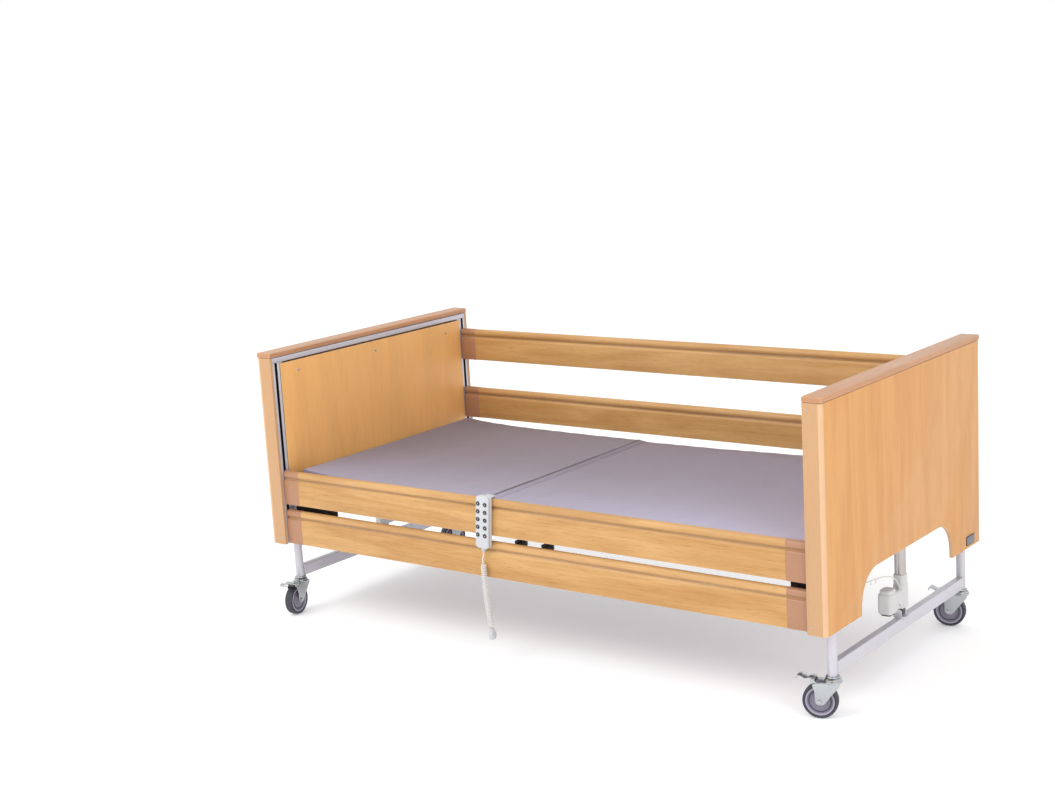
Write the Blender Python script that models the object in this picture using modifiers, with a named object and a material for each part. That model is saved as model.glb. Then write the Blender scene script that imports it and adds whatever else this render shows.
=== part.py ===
"""Adjustable home-care bed: two castored lift bases slide inside the end boards, a split deck frame
carries a backrest, a seat, a thigh rest and a calf rest, and wooden side rails run in slotted channels.

Run with: blender --background --python part.py
Metres, +Z up. X runs along the bed with the head end at -X, Y across it with the near side at -Y.
The origin is on the floor, under the middle of the bed. Each moving body has an empty on its joint.
"""

import math

import bmesh
import bpy
from mathutils import Matrix, Vector

# ---------------------------------------------------------------- driving dimensions
LENGTH = 2.100  # over the end boards
WIDTH = 1.040
BOARD_TOP = 0.920
BOARD_BOTTOM = 0.261
BOARD_DEPTH = 0.060  # thickness of an end board with its frame, along X
CAP_THICKNESS = 0.017
DECK_TOP = 0.4965
HANDLING_GAP = 0.0005  # left between pieces that touch

INNER_X = LENGTH / 2 - BOARD_DEPTH  # inner face of an end board
OUTER_X = LENGTH / 2
HALF_WIDTH = WIDTH / 2
BOARD_INSET = 0.001  # how far the cap stands past the board

# End board
PANEL_THICKNESS = 0.012
POST_THICKNESS = 0.0125
ARCH_TOP = 0.383
ARCH_HALF_WIDTH = 0.310
ARCH_CORNER_RADIUS = 0.100
INNER_PANEL_BOTTOM = 0.400
INNER_PANEL_THICKNESS = 0.008

# Steel lift frame inside an end board
CHANNEL_Y = (0.4625, 0.5065)
CHANNEL_DEPTH = 0.025
SLOT_WIDTH = 0.012
SLOT_DEPTH = 0.0175
BEAM_Z = (0.884, 0.9015)
SLEEVE_HEIGHTS = ((0.285, 0.335), (0.420, 0.460))
SLEEVE_RADIUS = 0.017
SLEEVE_BORE = 0.0145
SLEEVE_STRAP = (0.0045, 0.0107)  # how far inboard of a leg's axis the plate to its sleeve lies

# Castored base
LEG_X = OUTER_X - BOARD_DEPTH / 2 - 0.0005
LEG_Y = 0.4345
LEG_RADIUS = 0.014
LEG_Z = (0.1195, 0.790)
STEM_BORE = 0.0063
CROSSBAR_Z = (0.124, 0.163)
CROSSBAR_WIDTH = 0.025
FOOT_PIN_Z = 0.180
HEAD_PIN_Z = 0.868
PIN_RADIUS = 0.005
PIN_HOLE = 0.0056
EAR_GAP = 0.012  # half the space between two ears
EAR_THICKNESS = 0.004

# Lift actuator
COLUMN_HALF = (0.0165, 0.020)
COLUMN_Z = (0.192, 0.293)
MOTOR_Y = 0.090
MOTOR_RADIUS = 0.027
MOTOR_Z = (0.197, 0.276)
TUBE_RADIUS = 0.0165
TUBE_TOP = 0.760
ROD_RADIUS = 0.010
ROD_BORE = 0.0106
ROD_BOTTOM = 0.420

# Castors
WHEEL_RADIUS = 0.050
WHEEL_HALF_WIDTH = 0.015
CASTOR_TRAIL = 0.035
FORK_PLATE = (0.0185, 0.0215)
CROWN_X = (-0.021, 0.046)
CROWN_Z = (0.104, 0.108)
SWIVEL_RADIUS = 0.022
AXLE_RADIUS = 0.005
WHEEL_BORE = 0.0056
PEDAL_PIVOT = (0.054, 0.1115)
PEDAL_PIN = 0.0025
PEDAL_END = 0.098
PEDAL_HALF = 0.016
CASTOR_TURNS = {"head_near": 280, "head_far": 250, "foot_near": 197, "foot_far": 192}

# Deck frame
SIDE_TUBE_Y = (0.385, 0.410)
SIDE_TUBE_Z = (0.405, 0.445)
DECK_END = INNER_X - 0.0015
SPLIT = (-0.018, -0.014)
SPIGOT_LENGTH = 0.055
CROSS_TUBE_Z = (0.415, 0.440)
CROSS_TUBE_WIDTH = 0.025
CORNER_BRACKET = {"head": 0.190, "foot": 0.080}
BRACKET_TOP = 0.4115
BRACKET_BOTTOM = 0.345
BRACKET_Y = (0.450, 0.456)
KNOB_X = (-0.068, 0.035)
KNOB_Z = (0.340, 0.361)
KNOB_RADIUS = 0.0185
STRAP_X = (-0.086, 0.053)
STRAP_BOTTOM = 0.3975
CONTROL_BOX = ((-0.400, -0.260), (-0.330, -0.200), (0.370, CROSS_TUBE_Z[0] - HANDLING_GAP))

# Folding sections
SECTION_Y = 0.430
SECTION_TUBE = 0.011
SECTION_Z = 0.477
HINGE_Z = 0.478
BACK_HINGE_X = -0.160
THIGH_HINGE_X = 0.050
CALF_HINGE_X = 0.380
SECTION_END = 0.945
HINGE_TO_TUBE = 0.025
HINGE_PIN = 0.003
HINGE_HOLE = 0.0036
FIXED_LUG_Y = (0.398, 0.404)
MOVING_LUG_Y = (0.4055, 0.4115)
LUG_Z = (0.468, 0.4865)
SLAT_TOP = 0.486
SLATS = {"back": (-0.380, -0.570, -0.760), "seat": (-0.055,), "thigh": (0.215,), "calf": (0.580, 0.760)}
COVER_THICKNESS = 0.008
COVER_Y = 0.4435

# Section actuators
LEVER_LENGTH = 0.105
LEVER_HALF = 0.004
BACK_LEVER_START = math.radians(25)
THIGH_LEVER_START = math.radians(-5)
BACK_ACTUATOR_Y = -0.100
LEG_ACTUATOR_Y = 0.100
BACK_ANCHOR_X = 0.420
LEG_ANCHOR_X = -0.520
CROSS_TUBES = {"head": (-0.960, LEG_ANCHOR_X, -0.300), "foot": (0.160, BACK_ANCHOR_X, 0.960)}
ROD_HALF = 0.008
TINE_Y = (0.0047, 0.009)

# Side rails
RAIL_Y = (0.4785, 0.5045)
RAIL_HEIGHT = 0.116
RAIL_END = INNER_X - 0.0015
RAIL_GROOVE_DEPTH = 0.003
RAIL_TONGUE_HALF = 0.005
RAIL_LOW = {"upper": 0.400, "lower": 0.264}
RAIL_HIGH = {"upper": 0.730, "lower": 0.507}

# Handset
HANDSET_SIZE = (0.050, 0.0225, 0.168)
HANDSET_CENTRE = (-0.116, 0.445)
HANDSET_BACK_Y = -0.5060
HANDSET_LEAN = math.radians(4.57)
HOOK_Z = 0.0735
BUTTON_RADIUS = 0.005
BUTTON_COLUMNS = (-0.0135, 0.0135)
BUTTON_ROWS = (0.060, 0.035, 0.010, -0.015, -0.040)
CORD_RADIUS = 0.002
COIL_RADIUS = 0.0095
COIL_TOP = (-0.1275, -0.5175, 0.3120)
COIL_BOTTOM = (-0.1110, -0.5175, 0.1080)

ENDS = {"head": -1, "foot": 1}
SIDES = {"near": -1, "far": 1}

# ---------------------------------------------------------------- scene and materials
for old in list(bpy.data.objects):
    bpy.data.objects.remove(old, do_unlink=True)

bed = bpy.data.collections.new("adjustable_bed")
bpy.context.scene.collection.children.link(bed)


def material(name, colour, roughness, metallic=0.0):
    made = bpy.data.materials.new(name)
    made.use_nodes = True
    shader = made.node_tree.nodes["Principled BSDF"]
    shader.inputs["Base Color"].default_value = (*colour, 1)
    shader.inputs["Roughness"].default_value = roughness
    shader.inputs["Metallic"].default_value = metallic
    made.diffuse_color = (*colour, 1)
    return made


BEECH = material("beech_laminate", (0.74, 0.47, 0.24), 0.42)
CAP_WOOD = material("cap_wood", (0.56, 0.30, 0.18), 0.38)
OAK = material("oak_rail", (0.68, 0.42, 0.18), 0.42)
SILVER = material("silver_paint", (0.58, 0.58, 0.61), 0.32, 0.8)
ZINC = material("zinc_plate", (0.62, 0.63, 0.63), 0.28, 1.0)
WHITE_PLASTIC = material("white_plastic", (0.72, 0.72, 0.70), 0.4)
GREY_PLASTIC = material("grey_plastic", (0.60, 0.61, 0.63), 0.4)
BLACK_PLASTIC = material("black_plastic", (0.02, 0.02, 0.02), 0.45)
RUBBER = material("grey_rubber", (0.06, 0.06, 0.075), 0.6)
FABRIC = material("lilac_mesh_fabric", (0.33, 0.29, 0.35), 0.75)
ALUMINIUM = material("satin_aluminium", (0.62, 0.60, 0.58), 0.3, 1.0)


# ---------------------------------------------------------------- shapes
def link(mesh, name="shape"):
    made = bpy.data.objects.new(name, mesh)
    bed.objects.link(made)
    return made


def mesh_from(bm):
    mesh = bpy.data.meshes.new("shape")
    bm.to_mesh(mesh)
    bm.free()
    return link(mesh)


def box(x, y, z, round_edges=0.0):
    """A box from three (low, high) pairs."""
    bm = bmesh.new()
    bmesh.ops.create_cube(bm, size=1.0)
    for vertex in bm.verts:
        for axis, (low, high) in enumerate((sorted(x), sorted(y), sorted(z))):
            vertex.co[axis] = (low + high) / 2 + vertex.co[axis] * (high - low)
    if round_edges:
        bmesh.ops.bevel(
            bm, geom=bm.edges[:], offset=round_edges, segments=2, profile=0.5, affect="EDGES"
        )
    return mesh_from(bm)


def bar(start, end, radius, sides=12):
    """A round bar between two points."""
    start, end = Vector(start), Vector(end)
    way = end - start
    turn = way.to_track_quat("Z", "Y").to_matrix().to_4x4()
    bm = bmesh.new()
    bmesh.ops.create_cone(
        bm,
        cap_ends=True,
        segments=sides,
        radius1=radius,
        radius2=radius,
        depth=way.length,
        matrix=Matrix.Translation((start + end) / 2) @ turn,
    )
    return mesh_from(bm)


def baked(obj):
    """The object with its curve or modifiers turned into a plain closed mesh."""
    bpy.context.view_layer.update()
    evaluated = obj.evaluated_get(bpy.context.evaluated_depsgraph_get())
    bm = bmesh.new()
    bm.from_mesh(bpy.data.meshes.new_from_object(evaluated))
    bmesh.ops.transform(bm, matrix=obj.matrix_world, verts=bm.verts)
    bmesh.ops.remove_doubles(bm, verts=bm.verts, dist=1e-6)
    bmesh.ops.recalc_face_normals(bm, faces=bm.faces)
    bpy.data.objects.remove(obj, do_unlink=True)
    return mesh_from(bm)


def arc(centre, radius, start, end, steps):
    """Points on an arc, with both angles in degrees."""
    turns = [math.radians(start + (end - start) * i / steps) for i in range(steps + 1)]
    return [(centre[0] + radius * math.cos(t), centre[1] + radius * math.sin(t)) for t in turns]


def plate(outline, thickness, place):
    """A flat outline, extruded to a thickness about its plane and put in place."""
    curve = bpy.data.curves.new("outline", "CURVE")
    curve.dimensions = "2D"
    curve.fill_mode = "BOTH"
    curve.extrude = thickness / 2
    spline = curve.splines.new("POLY")
    spline.points.add(len(outline) - 1)
    for point, (u, v) in zip(spline.points, outline):
        point.co = (u, v, 0, 1)
    spline.use_cyclic_u = True
    made = link(curve)
    made.matrix_world = place
    return baked(made)


def across_x(x):
    """Puts an outline drawn as (y, z) in the plane at x."""
    return Matrix(((0, 0, 1, x), (1, 0, 0, 0), (0, 1, 0, 0), (0, 0, 0, 1)))


def across_y(y):
    """Puts an outline drawn as (x, z) in the plane at y."""
    return Matrix(((1, 0, 0, 0), (0, 0, -1, y), (0, 1, 0, 0), (0, 0, 0, 1)))


def tube(points, radius, closed=False, resolution=2):
    curve = bpy.data.curves.new("tube", "CURVE")
    curve.dimensions = "3D"
    curve.bevel_depth = radius
    curve.bevel_resolution = resolution
    curve.use_fill_caps = not closed
    spline = curve.splines.new("POLY")
    spline.points.add(len(points) - 1)
    for point, place in zip(spline.points, points):
        point.co = (*place, 1)
    spline.use_cyclic_u = closed
    return baked(link(curve))


def turned(profile, steps=16):
    """A profile of (radius, height) points, top to bottom down its outer side, turned about Z."""
    mesh = bpy.data.meshes.new("profile")
    edges = [(i, i + 1) for i in range(len(profile) - 1)]
    mesh.from_pydata([(r, 0, z) for r, z in profile], edges, [])
    made = link(mesh)
    screw = made.modifiers.new("turn", "SCREW")
    screw.steps = screw.render_steps = steps
    screw.use_merge_vertices = True
    screw.merge_threshold = 0.00001
    return baked(made)


def joined(first, others, operation="UNION"):
    """The first shape with the others added to it or cut from it; the others are used up."""
    for other in others:
        change = first.modifiers.new("change", "BOOLEAN")
        change.operation = operation
        change.solver = "EXACT"
        change.object = other
        bpy.context.view_layer.update()
        evaluated = first.evaluated_get(bpy.context.evaluated_depsgraph_get())
        mesh = bpy.data.meshes.new_from_object(evaluated)
        first.modifiers.clear()
        first.data = mesh
        bpy.data.objects.remove(other, do_unlink=True)
    return first


def cut(first, others):
    return joined(first, others, "DIFFERENCE")


# ---------------------------------------------------------------- bodies
bodies = {}


def body(name, origin=(0, 0, 0)):
    """An empty on the joint's axis, which the body's pieces are parented to."""
    empty = bpy.data.objects.new(f"{name}_joint", None)
    bed.objects.link(empty)
    empty.location = origin
    bodies[name] = (empty, Vector(origin))


def piece(name, of_body, finish, shape, place=None):
    """Names a finished shape, gives it its material and hands it to its body."""
    empty, origin = bodies[of_body]
    mesh = shape.data
    if place is not None:
        mesh.transform(place)
    mesh.transform(Matrix.Translation(-origin))
    mesh.materials.clear()
    mesh.materials.append(finish)
    mesh.shade_smooth()
    mesh.set_sharp_from_angle(angle=math.radians(35))
    shape.name = name
    mesh.name = name
    shape.parent = empty
    return shape


body("bed")


# ---------------------------------------------------------------- end boards
def arch_outline():
    """The outer panel seen along X: a rectangle with a round-shouldered arch in its lower edge."""
    edge = HALF_WIDTH - BOARD_INSET
    top = BOARD_TOP - CAP_THICKNESS - HANDLING_GAP
    r = ARCH_CORNER_RADIUS
    centre_y, centre_z = ARCH_HALF_WIDTH - r - 0.006, ARCH_TOP - r
    shoulder = arc((centre_y, centre_z), r, 5, 90, 6)
    right = [(ARCH_HALF_WIDTH, BOARD_BOTTOM)] + shoulder
    left = [(-y, z) for y, z in right]
    corners = [(edge, BOARD_BOTTOM), (edge, top), (-edge, top), (-edge, BOARD_BOTTOM)]
    return corners + left + right[::-1]


def board_shell(end, s):
    outer = s * (OUTER_X - BOARD_INSET)
    panel_x = outer - s * PANEL_THICKNESS / 2
    panel = plate(arch_outline(), PANEL_THICKNESS, across_x(panel_x))
    top = BOARD_TOP - CAP_THICKNESS - HANDLING_GAP
    edge = HALF_WIDTH - BOARD_INSET
    posts = [
        box(
            (s * INNER_X, outer - s * 0.002),
            (side * (edge - POST_THICKNESS), side * edge),
            (BOARD_BOTTOM, top),
        )
        for side in SIDES.values()
    ]
    piece(f"{end}_board_shell", "bed", BEECH, joined(panel, posts))
    cap = box(
        (s * (INNER_X - BOARD_INSET), s * OUTER_X),
        (-HALF_WIDTH, HALF_WIDTH),
        (BOARD_TOP - CAP_THICKNESS, BOARD_TOP),
        round_edges=0.0025,
    )
    piece(f"{end}_board_cap", "bed", CAP_WOOD, cap)
    inner = box(
        (s * (INNER_X + HANDLING_GAP), s * (INNER_X + HANDLING_GAP + INNER_PANEL_THICKNESS)),
        (-CHANNEL_Y[0] + 0.001, CHANNEL_Y[0] - 0.001),
        (INNER_PANEL_BOTTOM, BEAM_Z[0] - 0.001),
    )
    piece(f"{end}_inner_panel", "bed", BEECH, inner)


def ears(x, y, z_eye, z_root, half_length=0.010):
    """Two plates either side of y that hold a pin along Y at z_eye, and the pin."""
    plates = [
        box(
            (x - half_length, x + half_length),
            (y + side * EAR_GAP, y + side * (EAR_GAP + EAR_THICKNESS)),
            (z_eye + math.copysign(half_length, z_eye - z_root), z_root),
        )
        for side in SIDES.values()
    ]
    reach = EAR_GAP + EAR_THICKNESS + 0.002
    return plates + [bar((x, y - reach, z_eye), (x, y + reach, z_eye), PIN_RADIUS)]


def eye_block(x, y, z, half=0.010):
    """A block between two ears, with its pin hole still to be cut."""
    width = EAR_GAP - HANDLING_GAP
    return box((x - half, x + half), (y - width, y + width), (z - half, z + half))


def eye_hole(x, y, z):
    return bar((x, y - 0.03, z), (x, y + 0.03, z), PIN_HOLE)


def lift_frame(end, s):
    """Slotted channels for the rails, a top beam, and the sleeves that the base's legs slide in."""
    front = INNER_X + HANDLING_GAP
    slot_y = sum(RAIL_Y) / 2
    frame = box(
        (s * front, s * (OUTER_X - 0.016)),
        (-CHANNEL_Y[1], CHANNEL_Y[1]),
        BEAM_Z,
    )
    adds, cuts = [], []
    for side in SIDES.values():
        channel_y = tuple(side * y for y in CHANNEL_Y)
        adds.append(
            box(
                (s * front, s * (front + CHANNEL_DEPTH)),
                channel_y,
                (BOARD_BOTTOM + 0.001, BEAM_Z[0] + 0.005),
            )
        )
        cuts.append(
            box(
                (s * (front - 0.01), s * (front + SLOT_DEPTH)),
                (side * (slot_y - SLOT_WIDTH / 2), side * (slot_y + SLOT_WIDTH / 2)),
                (BOARD_BOTTOM + 0.009, BEAM_Z[0] - 0.009),
            )
        )
        for low, high in SLEEVE_HEIGHTS:
            x, y = s * LEG_X, side * LEG_Y
            strap_y = (side * (LEG_Y + SLEEVE_BORE), side * (CHANNEL_Y[0] + 0.002))
            adds.append(bar((x, y, low), (x, y, high), SLEEVE_RADIUS, 16))
            adds.append(box([s * (LEG_X - inboard) for inboard in SLEEVE_STRAP], strap_y, (low, high)))
            cuts.append(bar((x, y, low - 0.01), (x, y, high + 0.01), SLEEVE_BORE, 16))
    adds += ears(s * LEG_X, 0, HEAD_PIN_Z, BEAM_Z[0] + 0.002)
    piece(f"{end}_lift_frame", "bed", SILVER, cut(joined(frame, adds), cuts))


# ---------------------------------------------------------------- castored bases and lift actuators
def base_frame(end, s):
    body(f"{end}_base", (s * LEG_X, 0, FOOT_PIN_Z))
    half = CROSSBAR_WIDTH / 2
    frame = box((s * LEG_X - half, s * LEG_X + half), (-LEG_Y, LEG_Y), CROSSBAR_Z)
    legs, bores = [], []
    for side in SIDES.values():
        x, y = s * LEG_X, side * LEG_Y
        legs.append(bar((x, y, LEG_Z[0]), (x, y, LEG_Z[1]), LEG_RADIUS, 14))
        bores.append(bar((x, y, LEG_Z[0] - 0.01), (x, y, LEG_Z[0] + 0.040), STEM_BORE, 12))
    legs += ears(s * LEG_X, 0, FOOT_PIN_Z, CROSSBAR_Z[1] - 0.002, 0.009)
    piece(f"{end}_base_frame", f"{end}_base", SILVER, cut(joined(frame, legs), bores))


def lift_actuator(end, s):
    """A white column with a motor beside it at its foot, and a silver tube that the rod runs in."""
    x = s * LEG_X
    motor_y = -s * MOTOR_Y
    housing = box(
        (x - COLUMN_HALF[0], x + COLUMN_HALF[0]), (-COLUMN_HALF[1], COLUMN_HALF[1]), COLUMN_Z, 0.004
    )
    gear_case = box(
        (x - 0.0155, x + 0.0155), (0, motor_y), (COLUMN_Z[0] + 0.006, COLUMN_Z[0] + 0.030), 0.003
    )
    motor = bar((x, motor_y, MOTOR_Z[0]), (x, motor_y, MOTOR_Z[1]), MOTOR_RADIUS, 20)
    collar = bar((x, 0, COLUMN_Z[1] - 0.004), (x, 0, COLUMN_Z[1] + 0.006), TUBE_RADIUS + 0.0008, 16)
    outer_tube = bar((x, 0, COLUMN_Z[1] - 0.02), (x, 0, TUBE_TOP), TUBE_RADIUS, 16)
    foot = eye_block(x, 0, FOOT_PIN_Z + 0.003)
    whole = joined(housing, [gear_case, motor, collar, outer_tube, foot])
    bore = bar((x, 0, COLUMN_Z[1] + 0.017), (x, 0, TUBE_TOP + 0.01), ROD_BORE, 16)
    cut(whole, [bore, eye_hole(x, 0, FOOT_PIN_Z)])
    piece(f"{end}_lift_actuator", f"{end}_base", WHITE_PLASTIC, whole)
    rod = bar((x, 0, ROD_BOTTOM), (x, 0, HEAD_PIN_Z - 0.008), ROD_RADIUS, 16)
    top = joined(rod, [eye_block(x, 0, HEAD_PIN_Z)])
    piece(f"{end}_lift_rod", "bed", ALUMINIUM, cut(top, [eye_hole(x, 0, HEAD_PIN_Z)]))


# ---------------------------------------------------------------- castors
def castor(corner, s, side):
    """A swivelling fork, its wheel and its brake pedal, drawn trailing along +X and then turned."""
    x, y = s * LEG_X, side * LEG_Y
    turn = math.radians(CASTOR_TURNS[corner])
    place = Matrix.Translation((x, y, 0)) @ Matrix.Rotation(turn, 4, "Z")
    axle = place @ Vector((CASTOR_TRAIL, 0, WHEEL_RADIUS))
    pivot = place @ Vector((PEDAL_PIVOT[0], 0, PEDAL_PIVOT[1]))
    body(f"{corner}_castor", (x, y, LEG_Z[0]))
    body(f"{corner}_wheel", axle)
    body(f"{corner}_pedal", pivot)

    px, pz = PEDAL_PIVOT
    crown = box(CROWN_X, (-FORK_PLATE[1], FORK_PLATE[1]), CROWN_Z)
    swivel = bar((0, 0, CROWN_Z[1] - 0.001), (0, 0, LEG_Z[0] - 0.001), SWIVEL_RADIUS, 14)
    stem = bar((0, 0, LEG_Z[0] - 0.0015), (0, 0, LEG_Z[0] + 0.036), STEM_BORE - 0.0005, 8)
    side_outline = [(CROWN_X[0], CROWN_Z[1] - 0.002), (0.020, 0.040)]
    side_outline += arc((CASTOR_TRAIL, WHEEL_RADIUS), 0.014, 225, 335, 4)
    side_outline += [(px + 0.008, pz - 0.0035), (px + 0.006, pz + 0.0055)]
    side_outline += [(px - 0.006, pz + 0.0055), (CROWN_X[1] - 0.002, CROWN_Z[1])]
    cheeks = [
        plate(side_outline, FORK_PLATE[1] - FORK_PLATE[0], across_y(k * sum(FORK_PLATE) / 2))
        for k in SIDES.values()
    ]
    reach = FORK_PLATE[1] + 0.003
    pin_ends = [(CASTOR_TRAIL, k * reach, WHEEL_RADIUS) for k in SIDES.values()]
    axle_pin = bar(*pin_ends, AXLE_RADIUS, 12)
    pedal_pin = bar((px, -FORK_PLATE[1], pz), (px, FORK_PLATE[1], pz), PEDAL_PIN, 8)
    fork = joined(crown, [swivel, stem] + cheeks + [axle_pin, pedal_pin])
    piece(f"{corner}_castor_fork", f"{corner}_castor", ZINC, fork, place)

    w, r = WHEEL_HALF_WIDTH, WHEEL_RADIUS
    rim = [(WHEEL_BORE, w), (0.033, w), (0.042, w - 0.001), (r - 0.002, w - 0.006), (r, w - 0.010)]
    profile = rim + [(radius, -z) for radius, z in reversed(rim)] + [rim[0]]
    wheel = turned(profile, 20)
    lay_down = Matrix.Translation((CASTOR_TRAIL, 0, r)) @ Matrix.Rotation(math.pi / 2, 4, "X")
    piece(f"{corner}_castor_wheel", f"{corner}_wheel", RUBBER, wheel, place @ lay_down)

    across = (-PEDAL_HALF, PEDAL_HALF)
    hub_y = (-PEDAL_HALF - 0.001, PEDAL_HALF + 0.001)
    hub = box((px - 0.006, px + 0.006), hub_y, (pz - 0.0055, pz + 0.0065))
    tread = box((px, PEDAL_END - 0.001), across, (pz + 0.0025, pz + 0.0065))
    lip = box((PEDAL_END - 0.004, PEDAL_END), across, (pz + 0.003, pz + 0.0115))
    pin_hole = bar((px, -0.03, pz), (px, 0.03, pz), PEDAL_PIN + 0.0006, 8)
    pedal = cut(joined(hub, [tread, lip]), [pin_hole])
    piece(f"{corner}_brake_pedal", f"{corner}_pedal", ZINC, pedal, place)


# ---------------------------------------------------------------- deck frame
def hinge_lugs(x, reach_to, lug_y):
    """One plate a side that carries a section on its hinge at x and runs back to it at reach_to."""
    radius = LUG_Z[1] - HINGE_Z
    if reach_to < x:
        outline = [(reach_to, LUG_Z[0]), (x + 0.004, LUG_Z[0])]
        outline += arc((x, HINGE_Z), radius, -45, 90, 6) + [(reach_to, LUG_Z[1])]
    else:
        outline = [(reach_to, LUG_Z[0]), (reach_to, LUG_Z[1])]
        outline += arc((x, HINGE_Z), radius, 90, 225, 6) + [(x - 0.004, LUG_Z[0])]
    mid_y, thickness = sum(lug_y) / 2, lug_y[1] - lug_y[0]
    return [plate(outline, thickness, across_y(side * mid_y)) for side in SIDES.values()]


def standing_lugs(x):
    """Round-headed lugs on the side tubes, each with its hinge pin."""
    half, radius = 0.009, 0.010
    outline = [(x + half, SIDE_TUBE_Z[1] - 0.003)] + arc((x, HINGE_Z), radius, -20, 200, 8)
    outline += [(x - half, SIDE_TUBE_Z[1] - 0.003)]
    shapes = []
    for side in SIDES.values():
        mid_y = side * sum(FIXED_LUG_Y) / 2
        shapes.append(plate(outline, FIXED_LUG_Y[1] - FIXED_LUG_Y[0], across_y(mid_y)))
    return shapes + hinge_pins(x)


def across_hinge(x, low_y, high_y, radius):
    """A bar on the hinge's axis on each side."""
    return [
        bar((x, side * low_y, HINGE_Z), (x, side * high_y, HINGE_Z), radius, 8) for side in SIDES.values()
    ]


def hinge_pins(x):
    return across_hinge(x, FIXED_LUG_Y[0] - 0.001, MOVING_LUG_Y[1] + 0.0025, HINGE_PIN)


def hinge_holes(x):
    return across_hinge(x, FIXED_LUG_Y[1] + 0.0005, MOVING_LUG_Y[1] + 0.0085, HINGE_HOLE)


def cross_tube(x):
    half = CROSS_TUBE_WIDTH / 2
    reach = SIDE_TUBE_Y[0] + 0.002
    return box((x - half, x + half), (-reach, reach), CROSS_TUBE_Z)


def rest_pads(x):
    """Short posts on the side tubes that a folded-down section lies on."""
    return [
        box(
            (x - 0.012, x + 0.012),
            (side * (SIDE_TUBE_Y[1] - 0.012), side * (SECTION_Y + 0.009)),
            (SIDE_TUBE_Z[1] - 0.003, SECTION_Z - SECTION_TUBE - 0.0005),
        )
        for side in SIDES.values()
    ]


def corner_brackets(end, s):
    """Angle brackets from the side tubes out to the end board."""
    shapes = []
    x = (s * (DECK_END - CORNER_BRACKET[end]), s * DECK_END)
    for side in SIDES.values():
        flange_y = (side * (SIDE_TUBE_Y[0] + 0.01), side * BRACKET_Y[1])
        shapes.append(box(x, flange_y, (BRACKET_TOP - 0.006, BRACKET_TOP)))
        shapes.append(box(x, [side * y for y in BRACKET_Y], (BRACKET_BOTTOM, BRACKET_TOP)))
    return shapes


def section_loop(x_low, x_high):
    """A closed rectangle of round tube with bent corners."""
    r = 0.030
    corners = [(x_high - r, SECTION_Y - r, 0), (x_low + r, SECTION_Y - r, 90)]
    corners += [(x_low + r, -SECTION_Y + r, 180), (x_high - r, -SECTION_Y + r, 270)]
    points = []
    for cx, cy, start in corners:
        points += [(px, py, SECTION_Z) for px, py in arc((cx, cy), r, start, start + 90, 3)]
    return tube(points, SECTION_TUBE, closed=True)


def slats(section):
    """Flat bars across a section's loop, let into the top of its tubes."""
    y, z = (-SECTION_Y, SECTION_Y), (SLAT_TOP - 0.006, SLAT_TOP)
    return [box((x - 0.0125, x + 0.0125), y, z) for x in SLATS[section]]


def seat_posts():
    """Short posts that carry the fixed seat section on the head half's side tubes."""
    z = (SIDE_TUBE_Z[1] - 0.003, SECTION_Z - 0.005)
    return [
        box((x - 0.010, x + 0.010), (side * (SIDE_TUBE_Y[0] + 0.010), side * (SECTION_Y + 0.002)), z)
        for x in (-0.095, -0.035)
        for side in SIDES.values()
    ]


def deck_frames():
    """The two halves of the deck frame; the foot half's spigots slide into the head half's tubes."""
    wall, slack = 0.003, 0.0006
    for end, s in ENDS.items():
        inner = SPLIT[0] if end == "head" else SPLIT[1]
        shapes, cuts = [], []
        for side in SIDES.values():
            shapes.append(box((s * DECK_END, inner), [side * y for y in SIDE_TUBE_Y], SIDE_TUBE_Z))
            core_y = (side * (SIDE_TUBE_Y[0] + wall), side * (SIDE_TUBE_Y[1] - wall))
            core_z = (SIDE_TUBE_Z[0] + wall, SIDE_TUBE_Z[1] - wall)
            if end == "head":
                cuts.append(box((inner - SPIGOT_LENGTH - 0.005, inner + 0.01), core_y, core_z))
            else:
                shapes.append(
                    box(
                        (inner - SPIGOT_LENGTH, inner + 0.02),
                        (core_y[0] + side * slack, core_y[1] - side * slack),
                        (core_z[0] + slack, core_z[1] - slack),
                    )
                )
        shapes += corner_brackets(end, s)
        if end == "head":
            shapes += standing_lugs(BACK_HINGE_X) + rest_pads(-0.900)
            shapes += ears(LEG_ANCHOR_X, LEG_ACTUATOR_Y, leg_pin()[2], CROSS_TUBE_Z[0] + 0.002)
            shapes.append(section_loop(BACK_HINGE_X + HINGE_TO_TUBE, THIGH_HINGE_X - HINGE_TO_TUBE))
            shapes += slats("seat") + seat_posts()
        else:
            shapes += standing_lugs(THIGH_HINGE_X) + rest_pads(0.900) + rest_pads(0.300)
            shapes += ears(BACK_ANCHOR_X, BACK_ACTUATOR_Y, back_pin()[2], CROSS_TUBE_Z[0] + 0.002)
        frame = cross_tube(CROSS_TUBES[end][0])
        shapes = [cross_tube(x) for x in CROSS_TUBES[end][1:]] + shapes
        piece(f"deck_frame_{end}", "bed", SILVER, cut(joined(frame, shapes), cuts))


def frame_clamp(side_name, side):
    """A strap under the joint of the side tubes, held by two hand knobs."""
    mid_y = side * sum(SIDE_TUBE_Y) / 2
    knobs = []
    for x in KNOB_X:
        knobs.append(bar((x, mid_y, KNOB_Z[1] - 0.003), (x, mid_y, STRAP_BOTTOM + 0.0015), 0.005, 10))
        knobs.append(bar((x, mid_y, KNOB_Z[0]), (x, mid_y, KNOB_Z[1]), KNOB_RADIUS, 12))
    strap_z = (STRAP_BOTTOM, SIDE_TUBE_Z[0] - HANDLING_GAP)
    strap = box(STRAP_X, (mid_y - 0.0115, mid_y + 0.0115), strap_z)
    piece(f"frame_clamp_{side_name}", "bed", BLACK_PLASTIC, joined(strap, knobs))


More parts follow.
